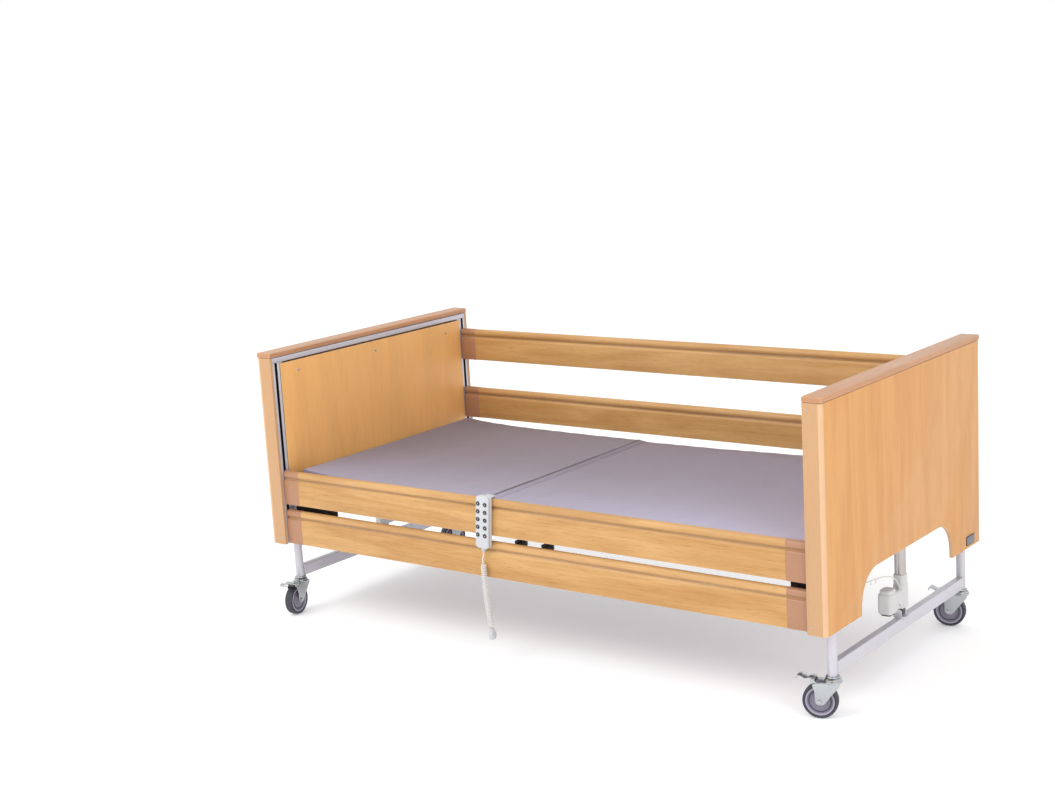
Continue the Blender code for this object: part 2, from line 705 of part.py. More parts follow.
# ---------------------------------------------------------------- folding sections
def lever_tip(hinge_x, start):
    """The lower end of a lever at rest: start is its lean from straight down, towards +X."""
    return (
        hinge_x + LEVER_LENGTH * math.sin(start),
        HINGE_Z - LEVER_LENGTH * math.cos(start),
    )


def back_pin():
    x, z = lever_tip(BACK_HINGE_X, BACK_LEVER_START)
    return (x, BACK_ACTUATOR_Y, z)


def leg_pin():
    x, z = lever_tip(THIGH_HINGE_X, THIGH_LEVER_START)
    return (x, LEG_ACTUATOR_Y, z)


def lever(tube_x, tip, y):
    """A flat plate from a section's end tube down to the actuator's fork."""
    root = Vector((tube_x, SECTION_Z))
    end = Vector((tip[0], tip[2]))
    along = (end - root).normalized()
    aside = Vector((-along.y, along.x)) * 0.011
    outline = [root - aside, root + aside, end + aside + along * 0.010, end - aside + along * 0.010]
    return plate([tuple(p) for p in outline], 2 * LEVER_HALF, across_y(y))


def folding_sections():
    body("backrest", (BACK_HINGE_X, 0, HINGE_Z))
    body("thigh_rest", (THIGH_HINGE_X, 0, HINGE_Z))
    body("calf_rest", (CALF_HINGE_X, 0, HINGE_Z))
    back_tube = BACK_HINGE_X - HINGE_TO_TUBE
    back = section_loop(-SECTION_END, back_tube)
    adds = slats("back") + [lever(back_tube, back_pin(), BACK_ACTUATOR_Y)]
    adds += hinge_lugs(BACK_HINGE_X, back_tube - 0.004, MOVING_LUG_Y)
    piece("back_frame", "backrest", SILVER, cut(joined(back, adds), hinge_holes(BACK_HINGE_X)))

    low, high = THIGH_HINGE_X + HINGE_TO_TUBE, CALF_HINGE_X - HINGE_TO_TUBE
    thigh = section_loop(low, high)
    adds = slats("thigh") + [lever(low, leg_pin(), LEG_ACTUATOR_Y)]
    adds += hinge_lugs(THIGH_HINGE_X, low + 0.004, MOVING_LUG_Y)
    adds += hinge_lugs(CALF_HINGE_X, high - 0.004, MOVING_LUG_Y)
    holes = hinge_holes(THIGH_HINGE_X) + hinge_holes(CALF_HINGE_X)
    piece("thigh_frame", "thigh_rest", SILVER, cut(joined(thigh, adds), holes))

    low = CALF_HINGE_X + HINGE_TO_TUBE
    calf = section_loop(low, SECTION_END)
    adds = slats("calf") + hinge_lugs(CALF_HINGE_X, low + 0.004, FIXED_LUG_Y)
    piece("calf_frame", "calf_rest", SILVER, joined(calf, adds + hinge_pins(CALF_HINGE_X)))


def covers():
    """Plain slabs of the mesh fabric's outer size, one on each section."""
    fold = 0.0165  # room that a rising section's edge turns in
    spans = {
        "back_cover": ("backrest", -SECTION_END - 0.0085, BACK_HINGE_X - 0.003),
        "seat_cover": ("bed", BACK_HINGE_X + fold, THIGH_HINGE_X - fold),
        "thigh_cover": ("thigh_rest", THIGH_HINGE_X + 0.003, CALF_HINGE_X - 0.002),
        "calf_cover": ("calf_rest", CALF_HINGE_X + 0.002, SECTION_END + 0.0085),
    }
    for name, (owner, low, high) in spans.items():
        slab = box((low, high), (-COVER_Y, COVER_Y), (DECK_TOP - COVER_THICKNESS, DECK_TOP))
        piece(name, owner, FABRIC, slab)


def section_actuator(name, anchor_x, tip, inner_end, mouth):
    """A motor housing on a pivot, with an outer tube, and a rod with a fork that straddles the lever.

    inner_end is where the rod ends inside the tube, and mouth is the tube's open end."""
    y, z = tip[1], tip[2]
    way = math.copysign(1, tip[0] - anchor_x)
    body(f"{name}_actuator", (anchor_x, y, z))
    body(f"{name}_rod", (tip[0], y, z))
    gear_x = anchor_x + way * 0.095
    housing_x = (anchor_x + way * 0.015, gear_x + way * 0.030)
    housing = box(housing_x, (y - 0.019, y + 0.019), (z - 0.022, z + 0.015), 0.003)
    motor = bar((gear_x, y, z - 0.095), (gear_x, y, z - 0.015), 0.0235, 16)
    neck = box((anchor_x, anchor_x + way * 0.02), (y - 0.008, y + 0.008), (z - 0.008, z + 0.008))
    barrel = bar((gear_x, y, z), (mouth, y, z), 0.0135, 14)
    whole = joined(housing, [motor, neck, barrel, eye_block(anchor_x, y, z, 0.009)])
    bore = bar((inner_end - way * 0.006, y, z), (mouth + way * 0.01, y, z), 0.0086, 12)
    cut(whole, [bore, eye_hole(anchor_x, y, z)])
    piece(f"{name}_actuator_housing", f"{name}_actuator", WHITE_PLASTIC, whole)
    fork_root = tip[0] - way * 0.020
    heel_x = fork_root - way * 0.008
    rod = bar((inner_end, y, z), (fork_root, y, z), ROD_HALF, 12)
    tines = [
        box((heel_x, tip[0] + way * 0.010), [y + side * t for t in TINE_Y], (z - 0.010, z + 0.010))
        for side in SIDES.values()
    ]
    heel = box((heel_x, fork_root), (y - TINE_Y[1], y + TINE_Y[1]), (z - 0.010, z + 0.010))
    piece(f"{name}_actuator_rod", f"{name}_rod", ALUMINIUM, joined(rod, [heel] + tines))


# ---------------------------------------------------------------- side rails
def rail_profile(bottom):
    """The bar's section as (y, z): a round bead along the top, a groove under it, a flat face below."""
    low_y, high_y = 0.0, RAIL_Y[1] - RAIL_Y[0]
    top = bottom + RAIL_HEIGHT
    bead = 0.0125
    groove = top - 0.029
    outline = [(low_y + 0.003, bottom), (high_y - 0.003, bottom), (high_y, bottom + 0.003)]
    outline += [(high_y, groove - 0.006), (high_y - RAIL_GROOVE_DEPTH, groove)]
    outline += arc((high_y - bead, top - bead), bead, -20, 90, 5)
    outline += arc((low_y + bead, top - bead), bead, 95, 200, 5)
    outline += [(low_y + RAIL_GROOVE_DEPTH, groove), (low_y, groove - 0.006), (low_y, bottom + 0.003)]
    return outline


def rail(side_name, side, level, bottom):
    name = f"{side_name}_{level}_rail"
    body(name, (0, side * sum(RAIL_Y) / 2, bottom))
    outline = [(side * (y + RAIL_Y[0]), z) for y, z in rail_profile(bottom)]
    whole = plate(outline, 2 * RAIL_END, across_x(0))
    mid = side * sum(RAIL_Y) / 2
    tongues = [
        box(
            (s * (RAIL_END - 0.01), s * (RAIL_END + 0.016)),
            (mid - RAIL_TONGUE_HALF, mid + RAIL_TONGUE_HALF),
            (bottom + 0.025, bottom + 0.091),
        )
        for s in ENDS.values()
    ]
    piece(name, name, OAK, joined(whole, tongues))


# ---------------------------------------------------------------- handset and its cord
def handset_place():
    """Turns the handset's own frame (X across, Z up, back face at Y 0) to how it hangs on the rail."""
    lean = Matrix.Rotation(HANDSET_LEAN, 4, "Y")
    return Matrix.Translation((HANDSET_CENTRE[0], HANDSET_BACK_Y, HANDSET_CENTRE[1])) @ lean


def handset():
    place = handset_place()
    body("handset", (HANDSET_CENTRE[0], HANDSET_BACK_Y, HANDSET_CENTRE[1]))
    wide, deep, tall = HANDSET_SIZE
    front = -deep
    case = box((-wide / 2, wide / 2), (front, 0), (-tall / 2, tall / 2), 0.005)
    strain_relief = bar((0, front / 2, -tall / 2 + 0.003), (0, front / 2, -tall / 2 - 0.014), 0.0045, 10)
    arm = box((-0.015, 0.015), (-0.004, 0.0305), (HOOK_Z, HOOK_Z + 0.005))
    leg = box((-0.015, 0.015), (0.0275, 0.0305), (HOOK_Z - 0.028, HOOK_Z + 0.005))
    pockets = [
        bar((x, front - 0.005, z), (x, front + 0.0065, z), BUTTON_RADIUS + 0.0006, 12)
        for x in BUTTON_COLUMNS
        for z in BUTTON_ROWS
    ]
    whole = cut(joined(case, [strain_relief, arm, leg]), pockets)
    piece("handset_body", "handset", GREY_PLASTIC, whole, place)
    number = 0
    for z in BUTTON_ROWS:
        for x in BUTTON_COLUMNS:
            number += 1
            name = f"handset_button_{number:02d}"
            body(name, place @ Vector((x, front, z)))
            button = bar((x, front - 0.0012, z), (x, front + 0.0050, z), BUTTON_RADIUS, 12)
            piece(name, name, BLACK_PLASTIC, button, place)


def smooth_route(points, steps):
    """A Catmull-Rom curve through the route's own points."""
    ends = [points[0] * 2 - points[1]] + points + [points[-1] * 2 - points[-2]]
    route = []
    for i in range(len(points) - 1):
        a, b, c, d = ends[i : i + 4]
        for k in range(steps):
            t = k / steps
            square, cube = 2 * a - 5 * b + 4 * c - d, 3 * b - a - 3 * c + d
            route.append((2 * b + (c - a) * t + square * t**2 + cube * t**3) / 2)
    return route + [points[-1]]


def cord():
    """A short straight stretch, the curly stretch as one fat tube, and the plug that hangs from it."""
    exit_point = handset_place() @ Vector((0, -HANDSET_SIZE[1] / 2, -HANDSET_SIZE[2] / 2 - 0.0143))
    top, bottom = Vector(COIL_TOP), Vector(COIL_BOTTOM)
    way = (bottom - top).normalized()
    route = [
        exit_point,
        exit_point + Vector((-0.0012, 0, -0.010)),
        top - way * 0.012 + Vector((-0.001, 0, 0)),
        top - way * 0.0003,
    ]
    stretch = tube(smooth_route(route, 4), CORD_RADIUS)
    piece("handset_cord", "handset", GREY_PLASTIC, stretch)
    coil = bar(top, bottom, COIL_RADIUS, 16)
    piece("handset_coil", "handset", GREY_PLASTIC, coil)
    plug_top = bottom + way * 0.0004
    plug = box((-0.013, 0.013), (-0.009, 0.009), (-0.040, -0.008), 0.003)
    neck = bar((0, 0, 0), (0, 0, -0.012), 0.0055, 12)
    hang = Matrix.Translation(plug_top) @ way.to_track_quat("-Z", "Y").to_matrix().to_4x4()
    piece("handset_plug", "handset", GREY_PLASTIC, joined(plug, [neck]), hang)


# ---------------------------------------------------------------- the bed
for end_name, end_sign in ENDS.items():
    board_shell(end_name, end_sign)
    lift_frame(end_name, end_sign)
    base_frame(end_name, end_sign)
    lift_actuator(end_name, end_sign)
    for side_name, side_sign in SIDES.items():
        castor(f"{end_name}_{side_name}", end_sign, side_sign)
deck_frames()
folding_sections()
covers()
section_actuator("back", BACK_ANCHOR_X, back_pin(), inner_end=0.180, mouth=0.020)
section_actuator("leg", LEG_ANCHOR_X, leg_pin(), inner_end=-0.230, mouth=-0.120)
piece("control_box", "bed", GREY_PLASTIC, box(*CONTROL_BOX, 0.004))
for side_name, side_sign in SIDES.items():
    frame_clamp(side_name, side_sign)
    heights = RAIL_LOW if side_name == "near" else RAIL_HIGH
    for level, height in heights.items():
        rail(side_name, side_sign, level, height)
handset()
cord()
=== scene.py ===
"""Adjustable care bed, dressed: wooden end boards, sliding rails, woven deck covers, silver frames,
castors, lift actuators and a handset on a curly cord, each built on its body of the loaded frame.
Lengths are in metres: +X runs to the foot end, +Y to the far side and +Z up."""

import math

import bmesh
import bpy
import numpy as np
from bpy.props import FloatProperty, FloatVectorProperty, IntProperty, PointerProperty
from mathutils import Matrix, Vector


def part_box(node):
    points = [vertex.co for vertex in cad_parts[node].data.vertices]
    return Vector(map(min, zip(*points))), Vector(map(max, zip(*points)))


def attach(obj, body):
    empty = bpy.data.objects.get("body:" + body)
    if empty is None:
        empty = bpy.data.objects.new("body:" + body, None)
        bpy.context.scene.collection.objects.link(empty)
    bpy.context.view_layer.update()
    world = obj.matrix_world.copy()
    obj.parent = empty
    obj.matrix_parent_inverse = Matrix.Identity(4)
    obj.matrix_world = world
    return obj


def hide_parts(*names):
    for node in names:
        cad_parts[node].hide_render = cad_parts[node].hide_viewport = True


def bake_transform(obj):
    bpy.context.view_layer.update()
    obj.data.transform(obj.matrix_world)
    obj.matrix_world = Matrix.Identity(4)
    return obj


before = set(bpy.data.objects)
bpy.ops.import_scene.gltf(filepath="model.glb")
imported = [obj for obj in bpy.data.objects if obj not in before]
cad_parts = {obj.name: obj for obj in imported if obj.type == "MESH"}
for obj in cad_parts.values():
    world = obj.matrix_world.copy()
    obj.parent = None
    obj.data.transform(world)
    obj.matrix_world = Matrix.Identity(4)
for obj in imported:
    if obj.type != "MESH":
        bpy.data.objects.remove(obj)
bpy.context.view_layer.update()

bl_info = {
    "name": "Adjustable Care Bed",
    "version": (1, 0, 0),
    "blender": (4, 5, 0),
    "location": "View3D > Sidebar > Care Bed",
    "description": "Builds an adjustable care bed with rails, castors and a corded handset",
    "category": "Add Mesh",
}

ENDS = {"head": -1, "foot": 1}
SIDES = {"near": -1, "far": 1}
CASTOR_TURNS = {"head_near": 280, "head_far": 250, "foot_near": 197, "foot_far": 192}
LEG_X, LEG_Y = 1.0195, 0.4345
HINGE_Z = 0.478
HINGES = {"back": -0.160, "thigh": 0.050, "calf": 0.380}
FIXED_LUG, MOVING_LUG = (0.398, 0.404), (0.4055, 0.4115)


def span(node):
    """A node's lowest and highest corner, as two arrays."""
    low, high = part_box(node)
    return np.array(low), np.array(high)


# ---------------------------------------------------------------- settings
def colour(name, description, default):
    return FloatVectorProperty(
        name=name, description=description, default=default, subtype="COLOR", size=3, min=0, max=1
    )


def length(name, description, default):
    return FloatProperty(name=name, description=description, default=default, unit="LENGTH", min=0)


class BoardSettings(bpy.types.PropertyGroup):
    light: colour("Light grain", "Laminate between the grain lines", (0.637, 0.325, 0.110))
    dark: colour("Dark grain", "Laminate in the grain lines", (0.533, 0.242, 0.071))
    panel: colour("Inner panels", "Laminate that faces the mattress", (0.830, 0.440, 0.155))
    post: colour("Posts", "Upright posts of the end boards", (0.540, 0.315, 0.160))
    strip: colour("Corner strips", "Round strips on the outer corners", (0.660, 0.410, 0.230))
    cap: colour("Cap", "Beech of the caps", (0.540, 0.270, 0.135))
    edge: length("Cap rounding", "Radius along a cap's edges", 0.0040)
    strip_radius: length("Strip radius", "Radius of a corner strip", 0.0085)


class RailSettings(bpy.types.PropertyGroup):
    light: colour("Light grain", "Oak between the grain lines", (0.620, 0.365, 0.146))
    dark: colour("Dark grain", "Oak in the grain lines", (0.440, 0.222, 0.066))
    end: colour("End caps", "Moulded ends of the bars", (0.390, 0.195, 0.108))
    end_length: length("End cap length", "How much of a bar each end cap covers", 0.068)


class MetalSettings(bpy.types.PropertyGroup):
    silver: colour("Silver paint", "Frames and legs", (0.560, 0.550, 0.600))
    zinc: colour("Zinc plate", "Castor forks and pedals", (0.465, 0.485, 0.505))
    aluminium: colour("Aluminium", "Actuator tubes and rods", (0.470, 0.440, 0.430))


class PlasticSettings(bpy.types.PropertyGroup):
    white: colour("White", "Actuator housings", (0.545, 0.540, 0.545))
    grey: colour("Grey", "Handset and control box", (0.510, 0.520, 0.540))
    tyre: colour("Tyre", "Rubber of the wheels", (0.040, 0.040, 0.055))
    hub: colour("Hub", "Wheel centres", (0.205, 0.190, 0.250))


class CoverSettings(bpy.types.PropertyGroup):
    light: colour("Yarn", "Face of the woven mesh", (0.157, 0.106, 0.143))
    dark: colour("Gaps", "Between the yarns", (0.084, 0.057, 0.076))
    pitch: length("Weave pitch", "Distance between two yarns", 0.0030)
    # The bead's yarn is paler than the cover's: its own yarn colour with painted light, matching the painted-lit
    # cloth beside it and the highlight on its ridge.
    bead_lit_colour: colour("Bead", "Yarn of the rolled lip", (0.200, 0.172, 0.205))
    bead: length("Bead radius", "Rolled lip where the back section ends", 0.0036)


class HandsetSettings(bpy.types.PropertyGroup):
    corner: length("Corner radius", "Round of the case's outline", 0.0125)
    coil_turns: IntProperty(name="Coil turns", description="Turns of the curly cord", default=34, min=5)
    wire: length("Wire diameter", "Thickness of the cord", 0.0036)


class StageSettings(bpy.types.PropertyGroup):
    floor: colour("Floor", "Plain pale floor", (0.900, 0.900, 0.905))
    key: FloatProperty(name="Key light", description="Power of the large soft light", default=110, min=0)
    fill: FloatProperty(name="Fill light", description="Power of the front light", default=55, min=0)
    glow: FloatProperty(
        name="Floor glow", description="Light of the floor itself, as on a light table", default=0.22, min=0
    )
    sky: FloatProperty(name="Surround", description="Strength of the even surround", default=1.0, min=0)


SETTINGS = {
    "boards": BoardSettings,
    "rails": RailSettings,
    "metal": MetalSettings,
    "plastic": PlasticSettings,
    "covers": CoverSettings,
    "handset": HandsetSettings,
    "stage": StageSettings,
}


def settings(name):
    return getattr(bpy.context.scene, "care_bed_" + name)


# ---------------------------------------------------------------- surfaces
def about(middle, reach):
    return middle - reach, middle + reach


def made_of(finish, *parts):
    """Parts paired with their finish, as build takes them."""
    return [(part, finish) for part in parts]


def unit(rows):
    return rows / np.linalg.norm(rows, axis=-1, keepdims=True)


def loft(rings, closed=False, wear_and_light=None):
    """Skin over a grid: point j of ring i meets point j + 1 and ring i + 1. Each ring closes on itself,
    and a flat face closes each end unless the last ring meets the first. Returns points, face corners,
    face sizes and a value from 0 to 1 for each point: edge wear on most parts, painted light on the covers."""
    n, m = rings.shape[:2]
    index = np.arange(n * m).reshape(n, m)
    grid = np.hstack([index, index[:, :1]])
    grid = np.vstack([grid, grid[:1]]) if closed else grid
    corners = np.stack([grid[:-1, :-1], grid[:-1, 1:], grid[1:, 1:], grid[1:, :-1]], -1).reshape(-1)
    sizes = np.full(len(corners) // 4, 4)
    if not closed:
        corners = np.concatenate([corners, index[0, ::-1], index[-1]])
        sizes = np.append(sizes, [m, m])
    wear = np.zeros((n, m)) if wear_and_light is None else np.broadcast_to(wear_and_light, (n, m))
    return rings.reshape(-1, 3), corners, sizes, wear.reshape(-1)


def rounded(corners, radii, steps=6):
    """An outline with each corner made an arc: the rational quadratic curve from one tangent point to the
    other, whose middle weight is the sine of half the corner's angle, is exactly that circle."""
    corners = np.asarray(corners, float)
    radii = np.maximum(np.broadcast_to(radii, len(corners)), 1e-4)
    before, after = unit(np.roll(corners, 1, 0) - corners), unit(np.roll(corners, -1, 0) - corners)
    half = np.arccos(np.clip((before * after).sum(1), -1, 1)) / 2
    reach = (radii / np.tan(half))[:, None]
    t = np.linspace(0, 1, steps + 1)[None, :, None]
    middle = 2 * np.sin(half)[:, None, None] * t * (1 - t)
    first, last = (1 - t) ** 2, t**2
    arcs = first * (corners + before * reach)[:, None] + middle * corners[:, None]
    arcs = arcs + last * (corners + after * reach)[:, None]
    return (arcs / (first + middle + last)).reshape(-1, 2)


def rectangle(u, v, radius=0.002, steps=4):
    (a, b), (c, d) = sorted(u), sorted(v)
    return rounded([(a, c), (b, c), (b, d), (a, d)], radius, steps)


def inset(outline, depths):
    """Copies of an outline drawn in by each depth, along the mitre of the two sides at each point."""
    side = unit(np.roll(outline, -1, 0) - outline)
    nxt = np.roll(outline, -1, 0)
    area = (outline[:, 0] * nxt[:, 1] - outline[:, 1] * nxt[:, 0]).sum()
    normal = np.stack([side[:, 1], -side[:, 0]], 1) * np.sign(area)
    before = np.roll(normal, 1, 0)
    mitre = (normal + before) / (1 + (normal * before).sum(1, keepdims=True))
    return outline[None] - np.reshape(depths, (-1, 1, 1)) * mitre[None]


def sharpness(outline):
    """How tightly an outline turns at each point, as wear from 0 to 1: full at a radius of 3 mm."""
    side = np.roll(outline, -1, 0) - outline
    back = np.roll(side, 1, 0)
    run = (np.linalg.norm(side, axis=1) + np.linalg.norm(back, axis=1)) / 2
    turn = np.arccos(np.clip((unit(side) * unit(back)).sum(1), -1, 1))
    return np.clip(turn / run * 0.003, 0, 1)


AXES = {"x": (2, 0, 1), "y": (0, 2, 1), "z": (0, 1, 2)}


def slab(outline, low, high, edge=0.001, axis="z", steps=3):
    """An outline carried along an axis from low to high. At each end it draws in on a quarter circle:
    inset edge(1 - sin t) at a rise of edge(1 - cos t)."""
    low, high = min(low, high), max(low, high)
    t = np.linspace(0, math.pi / 2, steps + 1)
    depth, rise = edge * (1 - np.sin(t)), edge * (1 - np.cos(t))
    flat = inset(np.asarray(outline, float), np.concatenate([depth, depth[::-1]]))
    level = np.concatenate([low + rise, high - rise[::-1]])
    rings = np.dstack([flat, np.broadcast_to(level[:, None], flat.shape[:2])])
    wear = np.concatenate([np.sin(2 * t), np.sin(2 * t[::-1])])
    wear_and_light = np.maximum(wear[:, None], sharpness(np.asarray(outline, float))[None])
    return loft(rings[..., AXES[axis]], wear_and_light=wear_and_light)


def block(x, y, z, corner=0.0015, edge=0.0008, axis="z", steps=3):
    """A box with round corners about one axis and round edges at both ends of it."""
    sides = {"x": (y, z, x), "y": (x, z, y), "z": (x, y, z)}[axis]
    return slab(rectangle(sides[0], sides[1], corner, steps), *sides[2], edge, axis, steps)


def turned(profile, sides=32, closed=False, lobes=0, depth=0.0):
    """A profile of (radius, height) turned about Z. With lobes, the radius swings by depth times the
    cosine of that many turns, as on a hand knob."""
    profile = np.asarray(profile, float)
    t = np.linspace(0, 2 * math.pi, sides, endpoint=False)
    radius = profile[:, :1] + depth * np.cos(lobes * t) * (profile[:, :1] > 0.6 * profile[:, 0].max())
    height = np.broadcast_to(profile[:, 1:], radius.shape)
    return loft(np.dstack([radius * np.cos(t), radius * np.sin(t), height]), closed)


def placed(part, matrix):
    points = part[0] @ np.array(matrix)[:3, :3].T + np.array(matrix)[:3, 3]
    return (points, *part[1:])


def along(start, end):
    """The matrix that takes the Z axis from the origin to the line from start to end."""
    way = Vector(end) - Vector(start)
    return Matrix.Translation(start) @ way.to_track_quat("Z", "Y").to_matrix().to_4x4()


def rod(start, end, radius, edge=0.0008, bore=0.0, sides=32):
    """A round bar or, with a bore, a tube. Its profile's corners are quarter circles."""
    reach = (Vector(end) - Vector(start)).length
    t = np.linspace(0, math.pi / 2, 4)
    foot = np.stack([radius - edge * (1 - np.sin(t)), edge * (1 - np.cos(t))], 1)
    head = np.stack([foot[::-1, 0], reach - foot[::-1, 1]], 1)
    profile = np.vstack([foot, head, [(bore, reach), (bore, 0)]] if bore else [foot, head])
    return placed(turned(profile, sides, closed=bool(bore)), along(start, end))


def swept(path, radius, up, closed=False, sides=12):
    """A circle carried along a path: at each point it stands square to the path's own direction."""
    path = np.asarray(path, float)
    if closed:
        way = unit(np.roll(path, -1, 0) - np.roll(path, 1, 0))
    else:
        way = unit(np.gradient(path, axis=0))
    aside = unit(np.cross(way, np.asarray(up, float)))
    rise = np.cross(aside, way)
    t = np.linspace(0, 2 * math.pi, sides, endpoint=False)
    size = np.broadcast_to(radius, len(path))[:, None, None]
    ring = np.cos(t)[None, :, None] * aside[:, None] + np.sin(t)[None, :, None] * rise[:, None]
    return loft(path[:, None] + size * ring, closed)


def smooth_route(points, steps):
    """A Catmull-Rom curve through the route's own points, as one array."""
    p = np.asarray(points, float)
    p = np.vstack([2 * p[0] - p[1], p, 2 * p[-1] - p[-2]])
    a, b, c, d = (p[i : len(p) - 3 + i, None] for i in range(4))
    t = np.linspace(0, 1, steps, endpoint=False)[None, :, None]
    curve = 2 * b + (c - a) * t + (2 * a - 5 * b + 4 * c - d) * t**2 + (3 * b - a - 3 * c + d) * t**3
    return np.vstack([curve.reshape(-1, 3) / 2, points[-1]])


def hexagon(centre, radius):
    t = np.radians(np.arange(6) * 60 + 30)
    return rounded(
        np.stack([centre[0] + radius * np.cos(t), centre[1] + radius * np.sin(t)], 1), radius / 10, 2
    )


def build(name, parts, body, stands_for=(), sharp=35):
    """One object from a list of (part, finish): points, corners and sizes are laid end to end, each part's
    corners counted on from the points before it."""
    starts = np.cumsum([0] + [len(part[0]) for part, _ in parts])[:-1]
    points = np.concatenate([part[0] for part, _ in parts])
    corners = np.concatenate([part[1] + start for (part, _), start in zip(parts, starts)])
    sizes = np.concatenate([part[2] for part, _ in parts])
    finishes = list(dict.fromkeys(finish for _, finish in parts))
    mesh = bpy.data.meshes.new(name)
    mesh.vertices.add(len(points))
    mesh.vertices.foreach_set("co", points.astype(np.float32).ravel())
    mesh.loops.add(len(corners))
    mesh.loops.foreach_set("vertex_index", corners.astype(np.int32))
    mesh.polygons.add(len(sizes))
    mesh.polygons.foreach_set("loop_start", (np.cumsum(sizes) - sizes).astype(np.int32))
    slots = np.concatenate([np.full(len(part[2]), finishes.index(finish)) for part, finish in parts])
    mesh.polygons.foreach_set("material_index", slots.astype(np.int32))
    mesh.update(calc_edges=True)
    # Per point: edge wear on most parts, and painted light (paler cloth) on the deck covers.
    wear_and_light = mesh.attributes.new("wear_and_light", "FLOAT", "POINT")
    wear_and_light.data.foreach_set("value", np.concatenate([part[3] for part, _ in parts]).astype(np.float32))
    for finish in finishes:
        mesh.materials.append(finish_named(finish))
    bm = bmesh.new()
    bm.from_mesh(mesh)
    bmesh.ops.recalc_face_normals(bm, faces=bm.faces)
    bm.to_mesh(mesh)
    bm.free()
    mesh.shade_smooth()
    mesh.set_sharp_from_angle(angle=math.radians(sharp))
    piece = bpy.data.objects.new(name, mesh)
    bpy.context.scene.collection.objects.link(piece)
    if body:
        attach(piece, body)
    if stands_for:
        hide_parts(*stands_for)
    return piece


# ---------------------------------------------------------------- shader groups
def add(tree, kind, inputs=None, **choices):
    """A node with its choices set, and each input linked to a socket or given a value."""
    made = tree.nodes.new("ShaderNode" + kind)
    for name, value in choices.items():
        setattr(made, name, value)
    for name, value in (inputs or {}).items():
        if isinstance(value, bpy.types.NodeSocket):
            tree.links.new(value, made.inputs[name])
        else:
            made.inputs[name].default_value = value
    return made


def sums(tree, operation, *values):
    return add(tree, "Math", dict(enumerate(values)), operation=operation).outputs[0]


def product(tree, first, second):
    return sums(tree, "MULTIPLY", first, second)


def scaled_sum(tree, value, by, plus):
    return sums(tree, "MULTIPLY_ADD", value, by, plus)


def ramp(tree, value, low, high, to_low=0.0, to_high=1.0):
    levels = {"Value": value, "From Min": low, "From Max": high, "To Min": to_low, "To Max": to_high}
    return add(tree, "MapRange", levels).outputs["Result"]


def stretched(tree, vector, by):
    return add(tree, "VectorMath", {0: vector, 1: by}, operation="MULTIPLY").outputs[0]


def blend_colours(tree, factor, first, second, kind="MIX"):
    made = add(tree, "Mix", {0: factor, 6: first, 7: second}, data_type="RGBA", blend_type=kind)
    return made.outputs[2]


def noise(tree, vector, scale, detail=2.0, distortion=0.0):
    values = {"Vector": vector, "Scale": scale, "Detail": detail, "Distortion": distortion}
    return add(tree, "TexNoise", values).outputs["Fac"]


def group(name, **inputs):
    """A node group. Its inputs are Vector, the named ones and Wear and light: edge wear on most parts, painted
    light on the cloth. It puts out Colour, Roughness and Height.
    """
    tree = bpy.data.node_groups.new(name, "ShaderNodeTree")
    tree.interface.new_socket("Vector", in_out="INPUT", socket_type="NodeSocketVector")
    for label, default in {**inputs, "Wear and light": 0.0}.items():
        kind = "Color" if isinstance(default, tuple) else "Float"
        socket = tree.interface.new_socket(
            label.replace("_", " "), in_out="INPUT", socket_type="NodeSocket" + kind
        )
        socket.default_value = default
    for label, kind in (("Colour", "Color"), ("Roughness", "Float"), ("Height", "Float")):
        tree.interface.new_socket(label, in_out="OUTPUT", socket_type="NodeSocket" + kind)
    return tree, tree.nodes.new("NodeGroupInput").outputs, tree.nodes.new("NodeGroupOutput").inputs


def wood_group():
    """Wood figure on coordinates whose X runs with the grain: broad bands from folded noise, fine fibres and
    short dark pores, with edges rubbed paler."""
    tree, given, made = group(
        "wood_figure", Light=(0.7, 0.4, 0.2, 1), Dark=(0.5, 0.25, 0.1, 1), Figure=5.0, Bands=6.0, Pores=0.4
    )
    long_way = stretched(tree, given["Vector"], (1, 9, 9))
    fibre_way = stretched(tree, given["Vector"], (1, 34, 34))
    broad = noise(tree, long_way, given["Figure"], 3.0, 0.5)
    folded = sums(tree, "PINGPONG", product(tree, broad, given["Bands"]), 1.0)
    fibres = noise(tree, fibre_way, 9.0, 4.0)
    pores = ramp(tree, noise(tree, fibre_way, 22.0, 1.0), 0.60, 0.72)
    patches = noise(tree, given["Vector"], 2.2, 2.0)
    factor = scaled_sum(tree, folded, 0.42, product(tree, fibres, 0.50))
    factor = scaled_sum(tree, ramp(tree, patches, 0.3, 0.7), 0.28, factor)
    factor = ramp(tree, factor, 0.22, 1.0)
    base = blend_colours(tree, factor, given["Light"], given["Dark"])
    deep = blend_colours(tree, 1.0, base, (0.55, 0.45, 0.36, 1), "MULTIPLY")
    base = blend_colours(tree, product(tree, pores, given["Pores"]), base, deep)
    pale = blend_colours(tree, 1.0, base, (1.0, 0.92, 0.80, 1), "SCREEN")
    rubbed = product(tree, given["Wear and light"], ramp(tree, patches, 0.35, 0.75, 0.03, 0.16))
    tree.links.new(blend_colours(tree, rubbed, base, pale), made["Colour"])
    tree.links.new(ramp(tree, fibres, 0.3, 0.7, 0.36, 0.47), made["Roughness"])
    tree.links.new(sums(tree, "SUBTRACT", fibres, product(tree, pores, 0.6)), made["Height"])
    return tree


